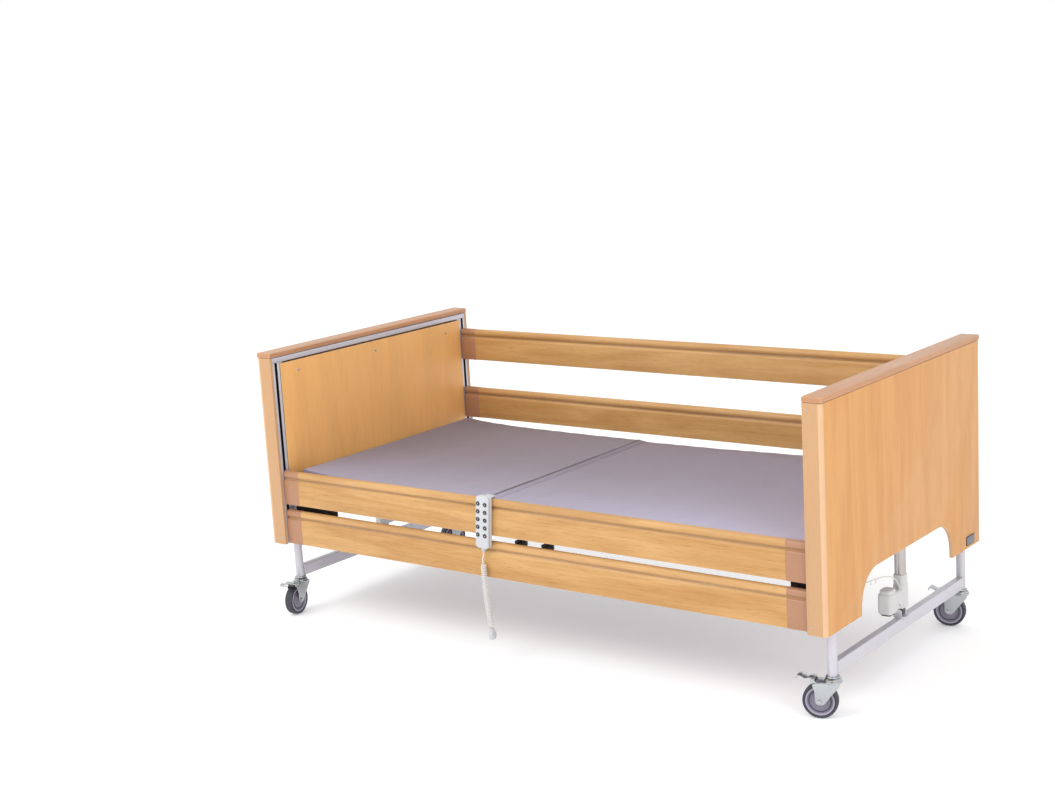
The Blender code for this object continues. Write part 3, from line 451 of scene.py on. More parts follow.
def surface_group():
    """Paint, plate and moulded plastic: fine grain in the surface, faint cloudiness in its colour and gloss,
    a little dust, and edges rubbed towards a second colour."""
    greys = {"Base": (0.5, 0.5, 0.5, 1), "Rubbed": (0.8, 0.8, 0.8, 1)}
    tree, given, made = group(
        "fine_surface", **greys, Grain=900.0, Cloud=0.08, Gloss_low=0.3, Gloss_high=0.42
    )
    grain = noise(tree, given["Vector"], given["Grain"], 2.0)
    cloud = noise(tree, given["Vector"], 14.0, 4.0, 0.3)
    smear = noise(tree, given["Vector"], 46.0, 3.0, 1.2)
    shade = blend_colours(tree, 1.0, given["Base"], (0.62, 0.60, 0.58, 1), "MULTIPLY")
    dust = product(tree, ramp(tree, cloud, 0.35, 0.75), given["Cloud"])
    base = blend_colours(tree, dust, given["Base"], shade)
    rubbed = product(tree, given["Wear and light"], ramp(tree, smear, 0.40, 0.70, 0.10, 0.55))
    tree.links.new(blend_colours(tree, rubbed, base, given["Rubbed"]), made["Colour"])
    gloss = ramp(tree, smear, 0.3, 0.7)
    spread = sums(tree, "SUBTRACT", given["Gloss high"], given["Gloss low"])
    tree.links.new(scaled_sum(tree, gloss, spread, given["Gloss low"]), made["Roughness"])
    tree.links.new(grain, made["Height"])
    return tree


def weave_group():
    """Woven mesh: two crossed cosines put a raised yarn at every second crossing and a gap between them,
    and a slower wander in the thread makes some rows paler."""
    tree, given, made = group("mesh_weave", Yarn=(0.5, 0.45, 0.55, 1), Gap=(0.3, 0.25, 0.33, 1), Pitch=0.003)
    at = add(tree, "SeparateXYZ", {0: given["Vector"]}).outputs
    drift = noise(tree, given["Vector"], 30.0, 2.0)
    waves = []
    for axis in ("X", "Y"):
        turns = sums(tree, "DIVIDE", scaled_sum(tree, drift, 0.0012, at[axis]), given["Pitch"])
        waves.append(sums(tree, "COSINE", product(tree, turns, 2 * math.pi)))
    crossing = scaled_sum(tree, product(tree, *waves), 0.5, 0.5)
    rows = noise(tree, stretched(tree, given["Vector"], (1, 60, 1)), 6.0, 2.0)
    cloth = ramp(tree, crossing, 0.10, 0.65)
    shade = scaled_sum(tree, ramp(tree, rows, 0.35, 0.65), 0.22, product(tree, cloth, 0.78))
    woven = blend_colours(tree, shade, given["Gap"], given["Yarn"])
    # Painted light: where the input is high the cloth is multiplied up to a pale lilac, standing in for light on
    # the cloth.
    painted_lit_cloth = blend_colours(tree, 1.0, woven, (2.95, 4.10, 4.25, 1), "MULTIPLY")
    tree.links.new(blend_colours(tree, given["Wear and light"], woven, painted_lit_cloth), made["Colour"])
    tree.links.new(ramp(tree, crossing, 0.0, 1.0, 0.92, 0.74), made["Roughness"])
    tree.links.new(crossing, made["Height"])
    return tree


GROUPS = {"wood_figure": wood_group, "fine_surface": surface_group, "mesh_weave": weave_group}


def patterned(name, group_name, values, turn=None, bump=0.0002, strength=0.3, **shader_values):
    """A material whose colour, roughness and bump come from one of the groups."""
    made = bpy.data.materials.new(name)
    made.use_nodes = True
    tree = made.node_tree
    shader = tree.nodes["Principled BSDF"]
    for label, value in shader_values.items():
        shader.inputs[label.replace("_", " ")].default_value = value
    place = add(tree, "TexCoord").outputs["Object"]
    if turn is not None:
        place = add(tree, "Mapping", {"Vector": place, "Rotation": turn}).outputs[0]
    pattern = tree.nodes.new("ShaderNodeGroup")
    pattern.node_tree = bpy.data.node_groups.get(group_name) or GROUPS[group_name]()
    tree.links.new(place, pattern.inputs["Vector"])
    if "Wear and light" in pattern.inputs:
        tree.links.new(add(tree, "Attribute", attribute_name="wear_and_light").outputs["Fac"], pattern.inputs["Wear and light"])
    for label, value in values.items():
        pattern.inputs[label].default_value = (*value, 1) if hasattr(value, "__len__") else value
    relief = add(tree, "Bump", {"Height": pattern.outputs["Height"], "Distance": bump, "Strength": strength})
    tree.links.new(pattern.outputs["Colour"], shader.inputs["Base Color"])
    tree.links.new(pattern.outputs["Roughness"], shader.inputs["Roughness"])
    tree.links.new(relief.outputs[0], shader.inputs["Normal"])
    return made


def scaled(colour_value, by):
    return tuple(min(1.0, c * by) for c in colour_value)


UPRIGHT = (0, math.pi / 2, 0)
ACROSS = (0, 0, math.pi / 2)


def wood(name, light, dark, turn, figure, bands, pores):
    values = {"Light": light, "Dark": dark, "Figure": figure, "Bands": bands, "Pores": pores}
    return patterned(name, "wood_figure", values, turn, 0.00025, 0.35, Specular_IOR_Level=0.35)


def plain(name, base, low, high, grain=900.0, cloud=0.10, rub=1.3, bump=0.00006, metallic=0.0):
    values = {"Base": base, "Rubbed": scaled(base, rub), "Grain": grain, "Cloud": cloud}
    values.update({"Gloss low": low, "Gloss high": high})
    return patterned(name, "fine_surface", values, None, bump, 0.4, Metallic=metallic)


def woven(name, yarn, gap):
    values = {"Yarn": yarn, "Gap": gap, "Pitch": settings("covers").pitch}
    return patterned(name, "mesh_weave", values, None, 0.0009, 0.5, Sheen_Weight=0.35, Sheen_Roughness=0.45)


def make_finish(name):
    """Looks the finish up: wood is light, dark, turn, figure, bands and pores, and a plain surface is
    base, lowest and highest roughness, grain, cloud, how much paler its edges rub, bump and metallic."""
    board, rail, metal, plastic, cover = (
        settings(n) for n in ("boards", "rails", "metal", "plastic", "covers")
    )
    woods = {
        "beech_upright": (board.light, board.dark, UPRIGHT, 1.6, 5.0, 0.25),
        "beech_panel": (board.panel, scaled(board.panel, 0.86), UPRIGHT, 1.6, 5.0, 0.25),
        "beech_post": (board.post, scaled(board.post, 0.88), UPRIGHT, 1.6, 4.0, 0.2),
        "beech_cap": (board.cap, scaled(board.cap, 0.78), ACROSS, 1.8, 5.0, 0.45),
        "oak_bar": (rail.light, rail.dark, None, 1.1, 7.0, 0.55),
        # Painted shade: a darker oak for the strip laid in each rail groove, standing in for the shadow in the
        # groove.
        "oak_groove": (scaled(rail.dark, 0.80), scaled(rail.dark, 0.60), None, 1.1, 7.0, 0.3),
    }
    surfaces = {
        "corner_strip": (board.strip, 0.30, 0.42, 500, 0.15, 1.12),
        "bar_end": (rail.end, 0.30, 0.44, 700, 0.15, 1.25),
        "silver_paint": (metal.silver, 0.30, 0.44, 1200, 0.10, 1.25, 0.00005, 0.35),
        "zinc_plate": (metal.zinc, 0.10, 0.24, 400, 0.12, 1.2, 0.00002, 1.0),
        "satin_aluminium": (metal.aluminium, 0.24, 0.34, 1500, 0.05, 1.1, 0.00001, 1.0),
        "white_plastic": (plastic.white, 0.34, 0.48, 1100, 0.10, 1.08, 0.00008),
        "grey_plastic": (plastic.grey, 0.34, 0.48, 1100, 0.08, 1.15, 0.00008),
        "black_plastic": ((0.014, 0.014, 0.016), 0.36, 0.55, 1100, 0.2, 3.0, 0.00008),
        "dark_steel": ((0.060, 0.058, 0.066), 0.30, 0.50, 700, 0.3, 2.2, 0.00005, 0.7),
        "tyre_rubber": (plastic.tyre, 0.50, 0.68, 800, 0.45, 1.8, 0.00012),
        "hub_plastic": (plastic.hub, 0.28, 0.42, 900, 0.2, 1.5, 0.00005),
        # Painted highlight: the hub's lip is twice the hub's colour, standing in for light on the lip.
        "hub_rim": (scaled(plastic.hub, 2.0), 0.26, 0.40, 900, 0.2, 1.3, 0.00005),
        "label_face": ((0.130, 0.140, 0.175), 0.30, 0.45, 600, 0.15, 1.2),
        "symbol_print": ((0.70, 0.70, 0.72), 0.40, 0.50),
        "cord_jacket": ((0.700, 0.680, 0.665), 0.38, 0.52, 700, 0.15, 1.1, 0.00005),
    }
    cloths = {
        "woven_mesh": (cover.light, cover.dark),
        # Painted light: the bead takes the paler, lit yarn colour.
        "fabric_bead": (cover.bead_lit_colour, scaled(cover.bead_lit_colour, 0.7)),
    }
    for make, table in ((wood, woods), (plain, surfaces), (woven, cloths)):
        if name in table:
            return make(name, *table[name])
    raise KeyError(name)


FINISHES = {}


def finish_named(name):
    if name not in FINISHES:
        FINISHES[name] = make_finish(name)
    return FINISHES[name]


# ---------------------------------------------------------------- end boards and lift frames
def screw_head(at, way, radius=0.0036, height=0.0012):
    """A low dome: radius falls as a quarter circle while the height rises."""
    t = np.linspace(0, math.pi / 2.2, 5)
    profile = np.stack([radius * np.cos(t), height * np.sin(t)], 1)
    foot = Vector(at) - Vector(way) * 0.0005
    return placed(turned(np.vstack([[radius, 0], profile + [0, 0.0005]]), 20), along(foot, Vector(at)))


class CareBedBoards(bpy.types.Operator):
    """Build both end boards: outer panel with its arch, posts, corner strips, cap, inner panel, screws"""

    bl_idname = "care_bed.boards"
    bl_label = "End Boards"

    def arch(self, bottom):
        """The lower edge's opening as an outline from its near foot to its far foot: upright sides that
        lean in a little and shoulders of 100 mm radius under a level top."""
        corners = [(-0.310, bottom), (-0.304, 0.383), (0.304, 0.383), (0.310, bottom)]
        return rounded(corners, [0.0001, 0.1, 0.1, 0.0001], 12)[13:-13]

    def execute(self, context):
        chosen = settings("boards")
        for end, s in ENDS.items():
            low, high = span(f"{end}_board_shell")
            inner, outer = s * min(abs(low[0]), abs(high[0])), s * max(abs(low[0]), abs(high[0]))
            half, bottom, top = high[1], low[2], high[2]
            rim = half - 0.0112
            arch = np.vstack([[(-0.310, bottom)], self.arch(bottom), [(0.310, bottom)]])
            outline = np.vstack([arch, [(rim, bottom), (rim, top), (-rim, top), (-rim, bottom)]])
            panel = slab(outline, outer, outer - s * 0.012, 0.0008, "x")
            lining = np.vstack([arch, (arch * [0.9968, 1] - [0, 0.0010])[::-1]])
            edging = slab(lining, outer - s * 0.0002, outer - s * 0.0118, 0.0002, "x")
            parts = [(panel, "beech_upright"), (edging, "corner_strip")]
            for side in SIDES.values():
                post = block((inner, outer - s * 0.0124), (side * 0.5066, side * half), (bottom, top), 0.0012)
                corner = [
                    (outer - s * 0.0122, side * half), (outer, side * half), (outer, side * (rim + 0.0003))
                ]
                corner.append((outer - s * 0.0122, side * (rim + 0.0003)))
                radius = chosen.strip_radius
                strip = slab(rounded(corner, [0.0006, radius, 0.0006, 0.0006], 8), bottom, top - 0.0005)
                parts += [(post, "beech_post"), (strip, "corner_strip")]
                for z in (bottom + 0.022, top - 0.020):
                    at = (inner + s * 0.012, side * half, z)
                    parts.append((screw_head(at, (0, side, 0)), "satin_aluminium"))
            build(f"{end}_board", parts, "bed", [f"{end}_board_shell"])

            low, high = span(f"{end}_board_cap")
            cap = block((low[0], high[0]), (low[1], high[1]), (low[2], high[2]), 0.004, chosen.edge, "z", 5)
            build(f"{end}_cap", [(cap, "beech_cap")], "bed", [f"{end}_board_cap"])

            low, high = span(f"{end}_inner_panel")
            gap, lap = 0.0035, s * np.abs(np.array(span(f"{end}_lift_frame"))[:, 0]).min()
            wide, tall = (low[1] + gap, high[1] - gap), (low[2], high[2] - gap)
            parts = [(block((low[0], high[0]), wide, tall, 0.002, 0.001, "x"), "beech_panel")]
            # Painted shade: a black sheet just behind the facing and a little larger shows as a dark line round
            # the panel, standing in for the shadow in the gap to the channels.
            facing, gap_shade_sheet = (lap, lap - s * 0.0016), (lap, lap - s * 0.0008)
            parts.append((block(facing, (-0.4738, 0.4738), tall, 0.002, 0.0005, "x"), "beech_panel"))
            parts.append(
                (
                    block(gap_shade_sheet, (-0.4750, 0.4750), (tall[0], tall[1] + 0.0011), 0.002, 0.0003, "x"),
                    "black_plastic",
                )
            )
            for y in (-0.39, 0.0, 0.39):
                parts.append(
                    (screw_head((lap - s * 0.0016, y, 0.845), (-s, 0, 0), 0.0046, 0.0022), "satin_aluminium")
                )
            build(f"{end}_inside_panel", parts, "bed", [f"{end}_inner_panel"])
        outer = span("foot_board_shell")[1][0]
        frame_part = block((outer, outer + 0.0012), (0.409, 0.470), (0.270, 0.300), 0.004, 0.0004, "x")
        face = block((outer + 0.0010, outer + 0.0018), (0.412, 0.467), (0.273, 0.297), 0.003, 0.0002, "x")
        plate = [(frame_part, "black_plastic"), (face, "label_face")]
        build("foot_board_plate", plate, "bed", ())
        return {"FINISHED"}


def ears(x, y, eye, root, half=0.010):
    """Two round-ended plates that hold a pin, with its washers."""
    way = 1 if root > eye else -1
    outline = [(x - half, root), (x - half, eye - way * half), (x + half, eye - way * half), (x + half, root)]
    outline = rounded(outline, [0.0005, half * 0.98, half * 0.98, 0.0005], 8)
    parts = [slab(outline, y + k * 0.012, y + k * 0.016, 0.0006, "y") for k in (-1, 1)]
    parts.append(rod((x, y - 0.0178, eye), (x, y + 0.0178, eye), 0.0048))
    parts += [rod((x, y + k * 0.0161, eye), (x, y + k * 0.0172, eye), 0.0085) for k in (-1, 1)]
    return parts


class CareBedLiftFrames(bpy.types.Operator):
    """Build the steel frame inside each end board: slotted channels, top beam, leg sleeves, actuator ears"""

    bl_idname = "care_bed.lift_frames"
    bl_label = "Lift Frames"

    def execute(self, context):
        for end, s in ENDS.items():
            low, high = span(f"{end}_lift_frame")
            front = s * min(abs(low[0]), abs(high[0]))
            leg_x = s * LEG_X
            beam = block((front, s * 1.034), (low[1], high[1]), (0.884, high[2]), 0.002, 0.0008, "y")
            parts, black = [beam], []
            for side in SIDES.values():
                section = [
                    (0, 0.4625), (0.025, 0.4625), (0.025, 0.5065), (0, 0.5065),
                    (0, 0.4975), (0.0175, 0.4975), (0.0175, 0.4855), (0, 0.4855),
                ]
                section = np.array(section) * [s, side] + [front, 0]
                parts.append(slab(rounded(section, 0.0010, 3), low[2], 0.8835, 0.0006))
                # A thin black lining on the three inner faces of the slot makes the inside of the slot look
                # black.
                slot_darkening = [
                    (0.0006, 0.4857), (0.0173, 0.4857), (0.0173, 0.4973), (0.0006, 0.4973),
                    (0.0006, 0.4968), (0.0167, 0.4968), (0.0167, 0.4862), (0.0006, 0.4862),
                ]
                slot_darkening = np.array(slot_darkening) * [s, side] + [front, 0]
                black.append(slab(rounded(slot_darkening, 0.0001, 1), low[2] + 0.001, 0.8825, 0.0001))
                leg_y = side * LEG_Y
                for z in ((0.285, 0.335), (0.420, 0.460)):
                    parts.append(rod((leg_x, leg_y, z[0]), (leg_x, leg_y, z[1]), 0.017, 0.001, 0.0146))
                    strap = (side * 0.4500, side * 0.4635)
                    parts.append(block((s * 1.0088, s * 1.0150), strap, z, 0.001))
            parts += ears(leg_x, 0, 0.868, 0.8855)
            parts = made_of("silver_paint", *parts) + made_of("black_plastic", *black)
            build(f"{end}_channels", parts, "bed", [f"{end}_lift_frame"])
        return {"FINISHED"}


# ---------------------------------------------------------------- bases, lift actuators, castors
class CareBedBases(bpy.types.Operator):
    """Build the two castored bases: round legs, the tube between them, and the ears of the actuator's foot"""

    bl_idname = "care_bed.bases"
    bl_label = "Lift Bases"

    def execute(self, context):
        for end, s in ENDS.items():
            x = s * LEG_X
            low, high = span(f"{end}_base_frame")
            parts = [
                (
                    block(about(x, 0.0125), (-0.4245, 0.4245), (0.124, 0.163), 0.004, 0.001, "y", 5),
                    "silver_paint",
                )
            ]
            for side in SIDES.values():
                y = side * LEG_Y
                parts.append(
                    (rod((x, y, low[2]), (x, y, high[2]), 0.014, 0.0012, 0.0063, 40), "silver_paint")
                )
                parts.append(
                    (
                        rod((x, y, low[2] + 0.0002), (x, y, low[2] + 0.0042), 0.0196, 0.0012, 0.0141, 40),
                        "zinc_plate",
                    )
                )
            parts += made_of("silver_paint", *ears(x, 0, 0.180, 0.1615, 0.009))
            parts.append((rod((x, 0, 0.1628), (x, 0, 0.1668), 0.0225, 0.001), "silver_paint"))
            build(f"{end}_base_tubes", parts, f"{end}_base", [f"{end}_base_frame"])
        return {"FINISHED"}


class CareBedLifts(bpy.types.Operator):
    """Build the lift actuators: column, motor with its cap, satin tube, rod, and the motor's cable"""

    bl_idname = "care_bed.lifts"
    bl_label = "Lift Actuators"

    def execute(self, context):
        for end, s in ENDS.items():
            x, motor_y = s * LEG_X, -s * 0.086
            column = rectangle(about(x, 0.0171), (-0.0225, 0.0225), 0.0110, 8)
            shoulder = rectangle(about(x, 0.0170), (-0.0205, 0.0205), 0.0130, 8)
            motor_span, lid_span, foot_span = ((motor_y - w, motor_y + w) for w in (0.0265, 0.0225, 0.0205))
            parts = [
                (slab(column, 0.192, 0.264, 0.004, "z", 5), "white_plastic"),
                (slab(shoulder, 0.260, 0.2935, 0.002, "z", 4), "white_plastic"),
                (rod((x, 0, 0.2932), (x, 0, 0.2946), 0.0172, 0.0004, 0.0162, 40), "satin_aluminium"),
                (rod((x, 0, 0.280), (x, 0, 0.757), 0.0169, 0.0006, 0.0107, 64), "satin_aluminium"),
                (rod((x, 0, 0.756), (x, 0, 0.760), 0.0172, 0.001, 0.0107, 40), "black_plastic"),
                (
                    block(about(x, 0.0155), (0, motor_y), (0.198, 0.254), 0.006, 0.004, "y", 5),
                    "white_plastic",
                ),
                (
                    slab(rectangle(about(x, 0.0225), motor_span, 0.0125, 8), 0.1985, 0.2600, 0.007, "z", 6),
                    "white_plastic",
                ),
                (
                    slab(rectangle(about(x, 0.0190), lid_span, 0.012, 8), 0.2540, 0.2715, 0.006, "z", 6),
                    "white_plastic",
                ),
                (
                    slab(rectangle(about(x, 0.0165), foot_span, 0.010, 8), 0.1945, 0.2000, 0.001, "z", 3),
                    "dark_steel",
                ),
                (
                    block(about(x, 0.0098), (-0.0112, 0.0112), (0.1712, 0.196), 0.004, 0.001, "y", 5),
                    "dark_steel",
                ),
                (block(about(x, 0.0085), (0.0220, 0.0232), (0.203, 0.250), 0.002, 0.0003, "y"), "label_face"),
                (screw_head((x + s * 0.0155, motor_y * 0.45, 0.210), (s, 0, 0), 0.0028), "black_plastic"),
            ]
            build(f"{end}_lift_motor", parts, f"{end}_base", [f"{end}_lift_actuator"])
            top = block(about(x, 0.0098), (-0.0112, 0.0112), (0.8582, 0.8778), 0.006, 0.001, "y", 5)
            rod_part = rod((x, 0, 0.420), (x, 0, 0.862), 0.0100, 0.001, 0, 40)
            parts = [(rod_part, "satin_aluminium"), (top, "dark_steel")]
            build(f"{end}_lift_piston", parts, "bed", [f"{end}_lift_rod"])

            side = -s
            way = [
                (x + s * 0.006, side * 0.020, 0.248),
                (x + s * 0.006, side * 0.026, 0.266),
                (x + s * 0.004, side * 0.040, 0.287),
                (x, side * 0.068, 0.303),
                (x, side * 0.110, 0.314),
                (x - s * 0.001, side * 0.160, 0.321),
                (x - s * 0.001, side * 0.205, 0.3255),
                (x - s * 0.003, side * 0.260, 0.334),
                (x - s * 0.006, side * 0.330, 0.348),
            ]
            clips = [
                rod((x, side * y, z), (x, side * y, z - 0.012), 0.0018, 0.0006)
                for y, z in ((0.160, 0.3208), (0.190, 0.3240))
            ]
            route = smooth_route(way, 10)
            cable = made_of("cord_jacket", swept(route, 0.0019, (1, 0, 0)), *clips)
            cable = build(f"{end}_lift_cable", cable, None, ())
            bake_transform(cable)
        return {"FINISHED"}


class CareBedCastors(bpy.types.Operator):
    """Build each castor trailing along +X about its leg, then turn it: fork, bearing, wheel, brake pedal"""

    bl_idname = "care_bed.castors"
    bl_label = "Castors"

    def wheel(self):
        """Tyre and hub as closed rings of a profile turned about the axle."""
        t = np.linspace(-1, 1, 13)
        tread = np.stack([0.0500 - 0.0046 * np.abs(t) ** 3.2, 0.0148 * np.sin(t * math.pi / 2)], 1)
        tyre = np.vstack([tread, [(0.0435, 0.0137), (0.0412, 0.0128), (0.0405, 0.0110), (0.0405, -0.0110)]])
        tyre = np.vstack([tyre, [(0.0412, -0.0128), (0.0435, -0.0137)]])
        half_rim = [(0.0408, 0.0124), (0.0398, 0.0134), (0.0378, 0.0134), (0.0368, 0.0120)]
        rim = np.array(half_rim + [(r, -z) for r, z in half_rim[::-1]])
        half_hub = [(0.0370, 0.0108), (0.0352, 0.0092), (0.0300, 0.0086), (0.0285, 0.0104), (0.0262, 0.0108),
                    (0.0246, 0.0092), (0.0170, 0.0094), (0.0152, 0.0138), (0.0120, 0.0152), (0.0056, 0.0152)]
        hub = np.array(half_hub + [(r, -z) for r, z in half_hub[::-1]])
        lay = Matrix.Translation((0.035, 0, 0.050)) @ Matrix.Rotation(math.pi / 2, 4, "X")
        half_ring = [(0.0322, 0.0098), (0.0318, 0.0106), (0.0296, 0.0106), (0.0292, 0.0098)]
        ring = np.array(half_ring + [(r, -z) for r, z in half_ring[::-1]])
        # The lip of the hub takes the painted highlight colour.
        parts = ((tyre, "tyre_rubber"), (rim, "hub_rim"), (hub, "hub_plastic"), (ring, "tyre_rubber"))
        return [(placed(turned(p, 56, closed=True), lay), finish) for p, finish in parts]

    def fork(self):
        plate = [(-0.0215, 0.108), (0.046, 0.108), (0.046, 0.104), (0.055, 0.100), (0.048, 0.078),
                 (0.0465, 0.042), (0.0235, 0.042), (0.0030, 0.069), (-0.0215, 0.099)]
        radii = [0.002, 0.002, 0.002, 0.004, 0.020, 0.0112, 0.0112, 0.020, 0.003]
        cheek = rounded(plate, radii, 6)
        nose = [(-0.023, -0.0215), (0.046, -0.0215), (0.046, 0.0215), (-0.023, 0.0215)]
        crown = rounded(nose, [0.0175, 0.002, 0.002, 0.0175], 8)
        race = [(0.0120, 0.1035), (0.0232, 0.1035), (0.0252, 0.1050), (0.0262, 0.1075), (0.0258, 0.1100),
                (0.0240, 0.1116), (0.0232, 0.1124), (0.0240, 0.1134), (0.0238, 0.1152), (0.0216, 0.1170),
                (0.0196, 0.1187), (0.0120, 0.1192)]
        parts = [(slab(cheek, k * 0.0187, k * 0.0215, 0.0007, "y"), "zinc_plate") for k in (-1, 1)]
        parts += [
            (slab(crown, 0.1040, 0.1080, 0.0009), "zinc_plate"),
            (turned(race, 48), "zinc_plate"),
            (rod((0, 0, 0.117), (0, 0, 0.155), 0.0058), "dark_steel"),
            (rod((0, 0, 0.0985), (0, 0, 0.1045), 0.0085, 0.0012), "dark_steel"),
            (rod((0.035, -0.0240, 0.050), (0.035, 0.0240, 0.050), 0.0048), "zinc_plate"),
            (block((0.046, 0.060), (-0.0125, 0.0125), (0.1010, 0.1085), 0.003), "dark_steel"),
        ]
        for k in (-1, 1):
            parts.append((rod((0.035, k * 0.0152, 0.050), (0.035, k * 0.0187, 0.050), 0.0085), "zinc_plate"))
            parts.append(
                (slab(hexagon((0.035, 0.050), 0.0072), k * 0.0214, k * 0.0252, 0.0008, "y"), "zinc_plate")
            )
            parts.append(
                (rod((0.054, k * 0.0180, 0.1115), (0.054, k * 0.0222, 0.1115), 0.0030), "zinc_plate")
            )
            tab = [(0.044, 0.1065), (0.060, 0.1010), (0.061, 0.1150), (0.056, 0.1175), (0.049, 0.1160)]
            parts.append((slab(rounded(tab, 0.002, 4), k * 0.0187, k * 0.0212, 0.0006, "y"), "zinc_plate"))
        return parts

    def pedal(self):
        """A bent plate: its centre line is thickened square to its own direction."""
        line = smooth_route([(0.047, 0, 0.1135), (0.054, 0, 0.1175), (0.064, 0, 0.1172), (0.072, 0, 0.1150),
                             (0.080, 0, 0.1168), (0.087, 0, 0.1212), (0.095, 0, 0.1216), (0.0985, 0, 0.1190),
                             (0.0990, 0, 0.1135)], 6)[:, [0, 2]]
        way = unit(np.gradient(line, axis=0))
        aside = np.stack([-way[:, 1], way[:, 0]], 1) * 0.0012
        plate = slab(np.vstack([line + aside, (line - aside)[::-1]]), -0.0160, 0.0160, 0.0005, "y")
        hub = rod((0.054, -0.0165, 0.1115), (0.054, 0.0165, 0.1115), 0.0052, 0.001, 0.0031)
        web = block((0.0505, 0.0575), (-0.0140, 0.0140), (0.1130, 0.1172), 0.001)
        return made_of("zinc_plate", plate, hub, web)

    def execute(self, context):
        for corner, turn in CASTOR_TURNS.items():
            end, side = corner.split("_")
            at = (ENDS[end] * LEG_X, SIDES[side] * LEG_Y, 0)
            place = Matrix.Translation(at) @ Matrix.Rotation(math.radians(turn), 4, "Z")
            made = (
                ("castor_fork", self.fork(), "castor", "zinc_plate"),
                ("castor_wheel", self.wheel(), "wheel", "grey_rubber"),
                ("brake_pedal", self.pedal(), "pedal", "zinc_plate"),
            )
            for node, parts, body, slot_name in made:
                parts = [(placed(part, place), finish) for part, finish in parts]
                name = f"{corner}_{node}"
                build(name + "_made", parts, f"{corner}_{body}", [name])
        return {"FINISHED"}


# ---------------------------------------------------------------- deck
def hinge_bars(x, low_y, high_y, radius):
    return [rod((x, k * low_y, HINGE_Z), (x, k * high_y, HINGE_Z), radius, 0.0006) for k in (-1, 1)]


def lug(x, reach_to, lug_y):
    """A plate a side from a hinge at x back to reach_to, with a round nose about the hinge."""
    way = math.copysign(1, reach_to - x)
    outline = [(x - way * 0.0088, 0.468), (reach_to, 0.468), (reach_to, 0.4865), (x - way * 0.0088, 0.4865)]
    outline = rounded(outline, [0.0088, 0.001, 0.001, 0.0080], 6)
    return [slab(outline, k * lug_y[0], k * lug_y[1], 0.0005, "y") for k in (-1, 1)]


def tube_loop(low, high):
    """A rectangle of round tube whose corners are arcs of 30 mm."""
    outline = rounded([(low, -0.430), (high, -0.430), (high, 0.430), (low, 0.430)], 0.030, 9)
    path = np.column_stack([outline, np.full(len(outline), 0.477)])
    return swept(path, 0.011, (0, 0, 1), closed=True, sides=20)


def slat(x):
    """A flat bar let into the loop's sides."""
    return block(about(x, 0.0125), (-0.430, 0.430), (0.480, 0.486), 0.0015, 0.0008, "y")


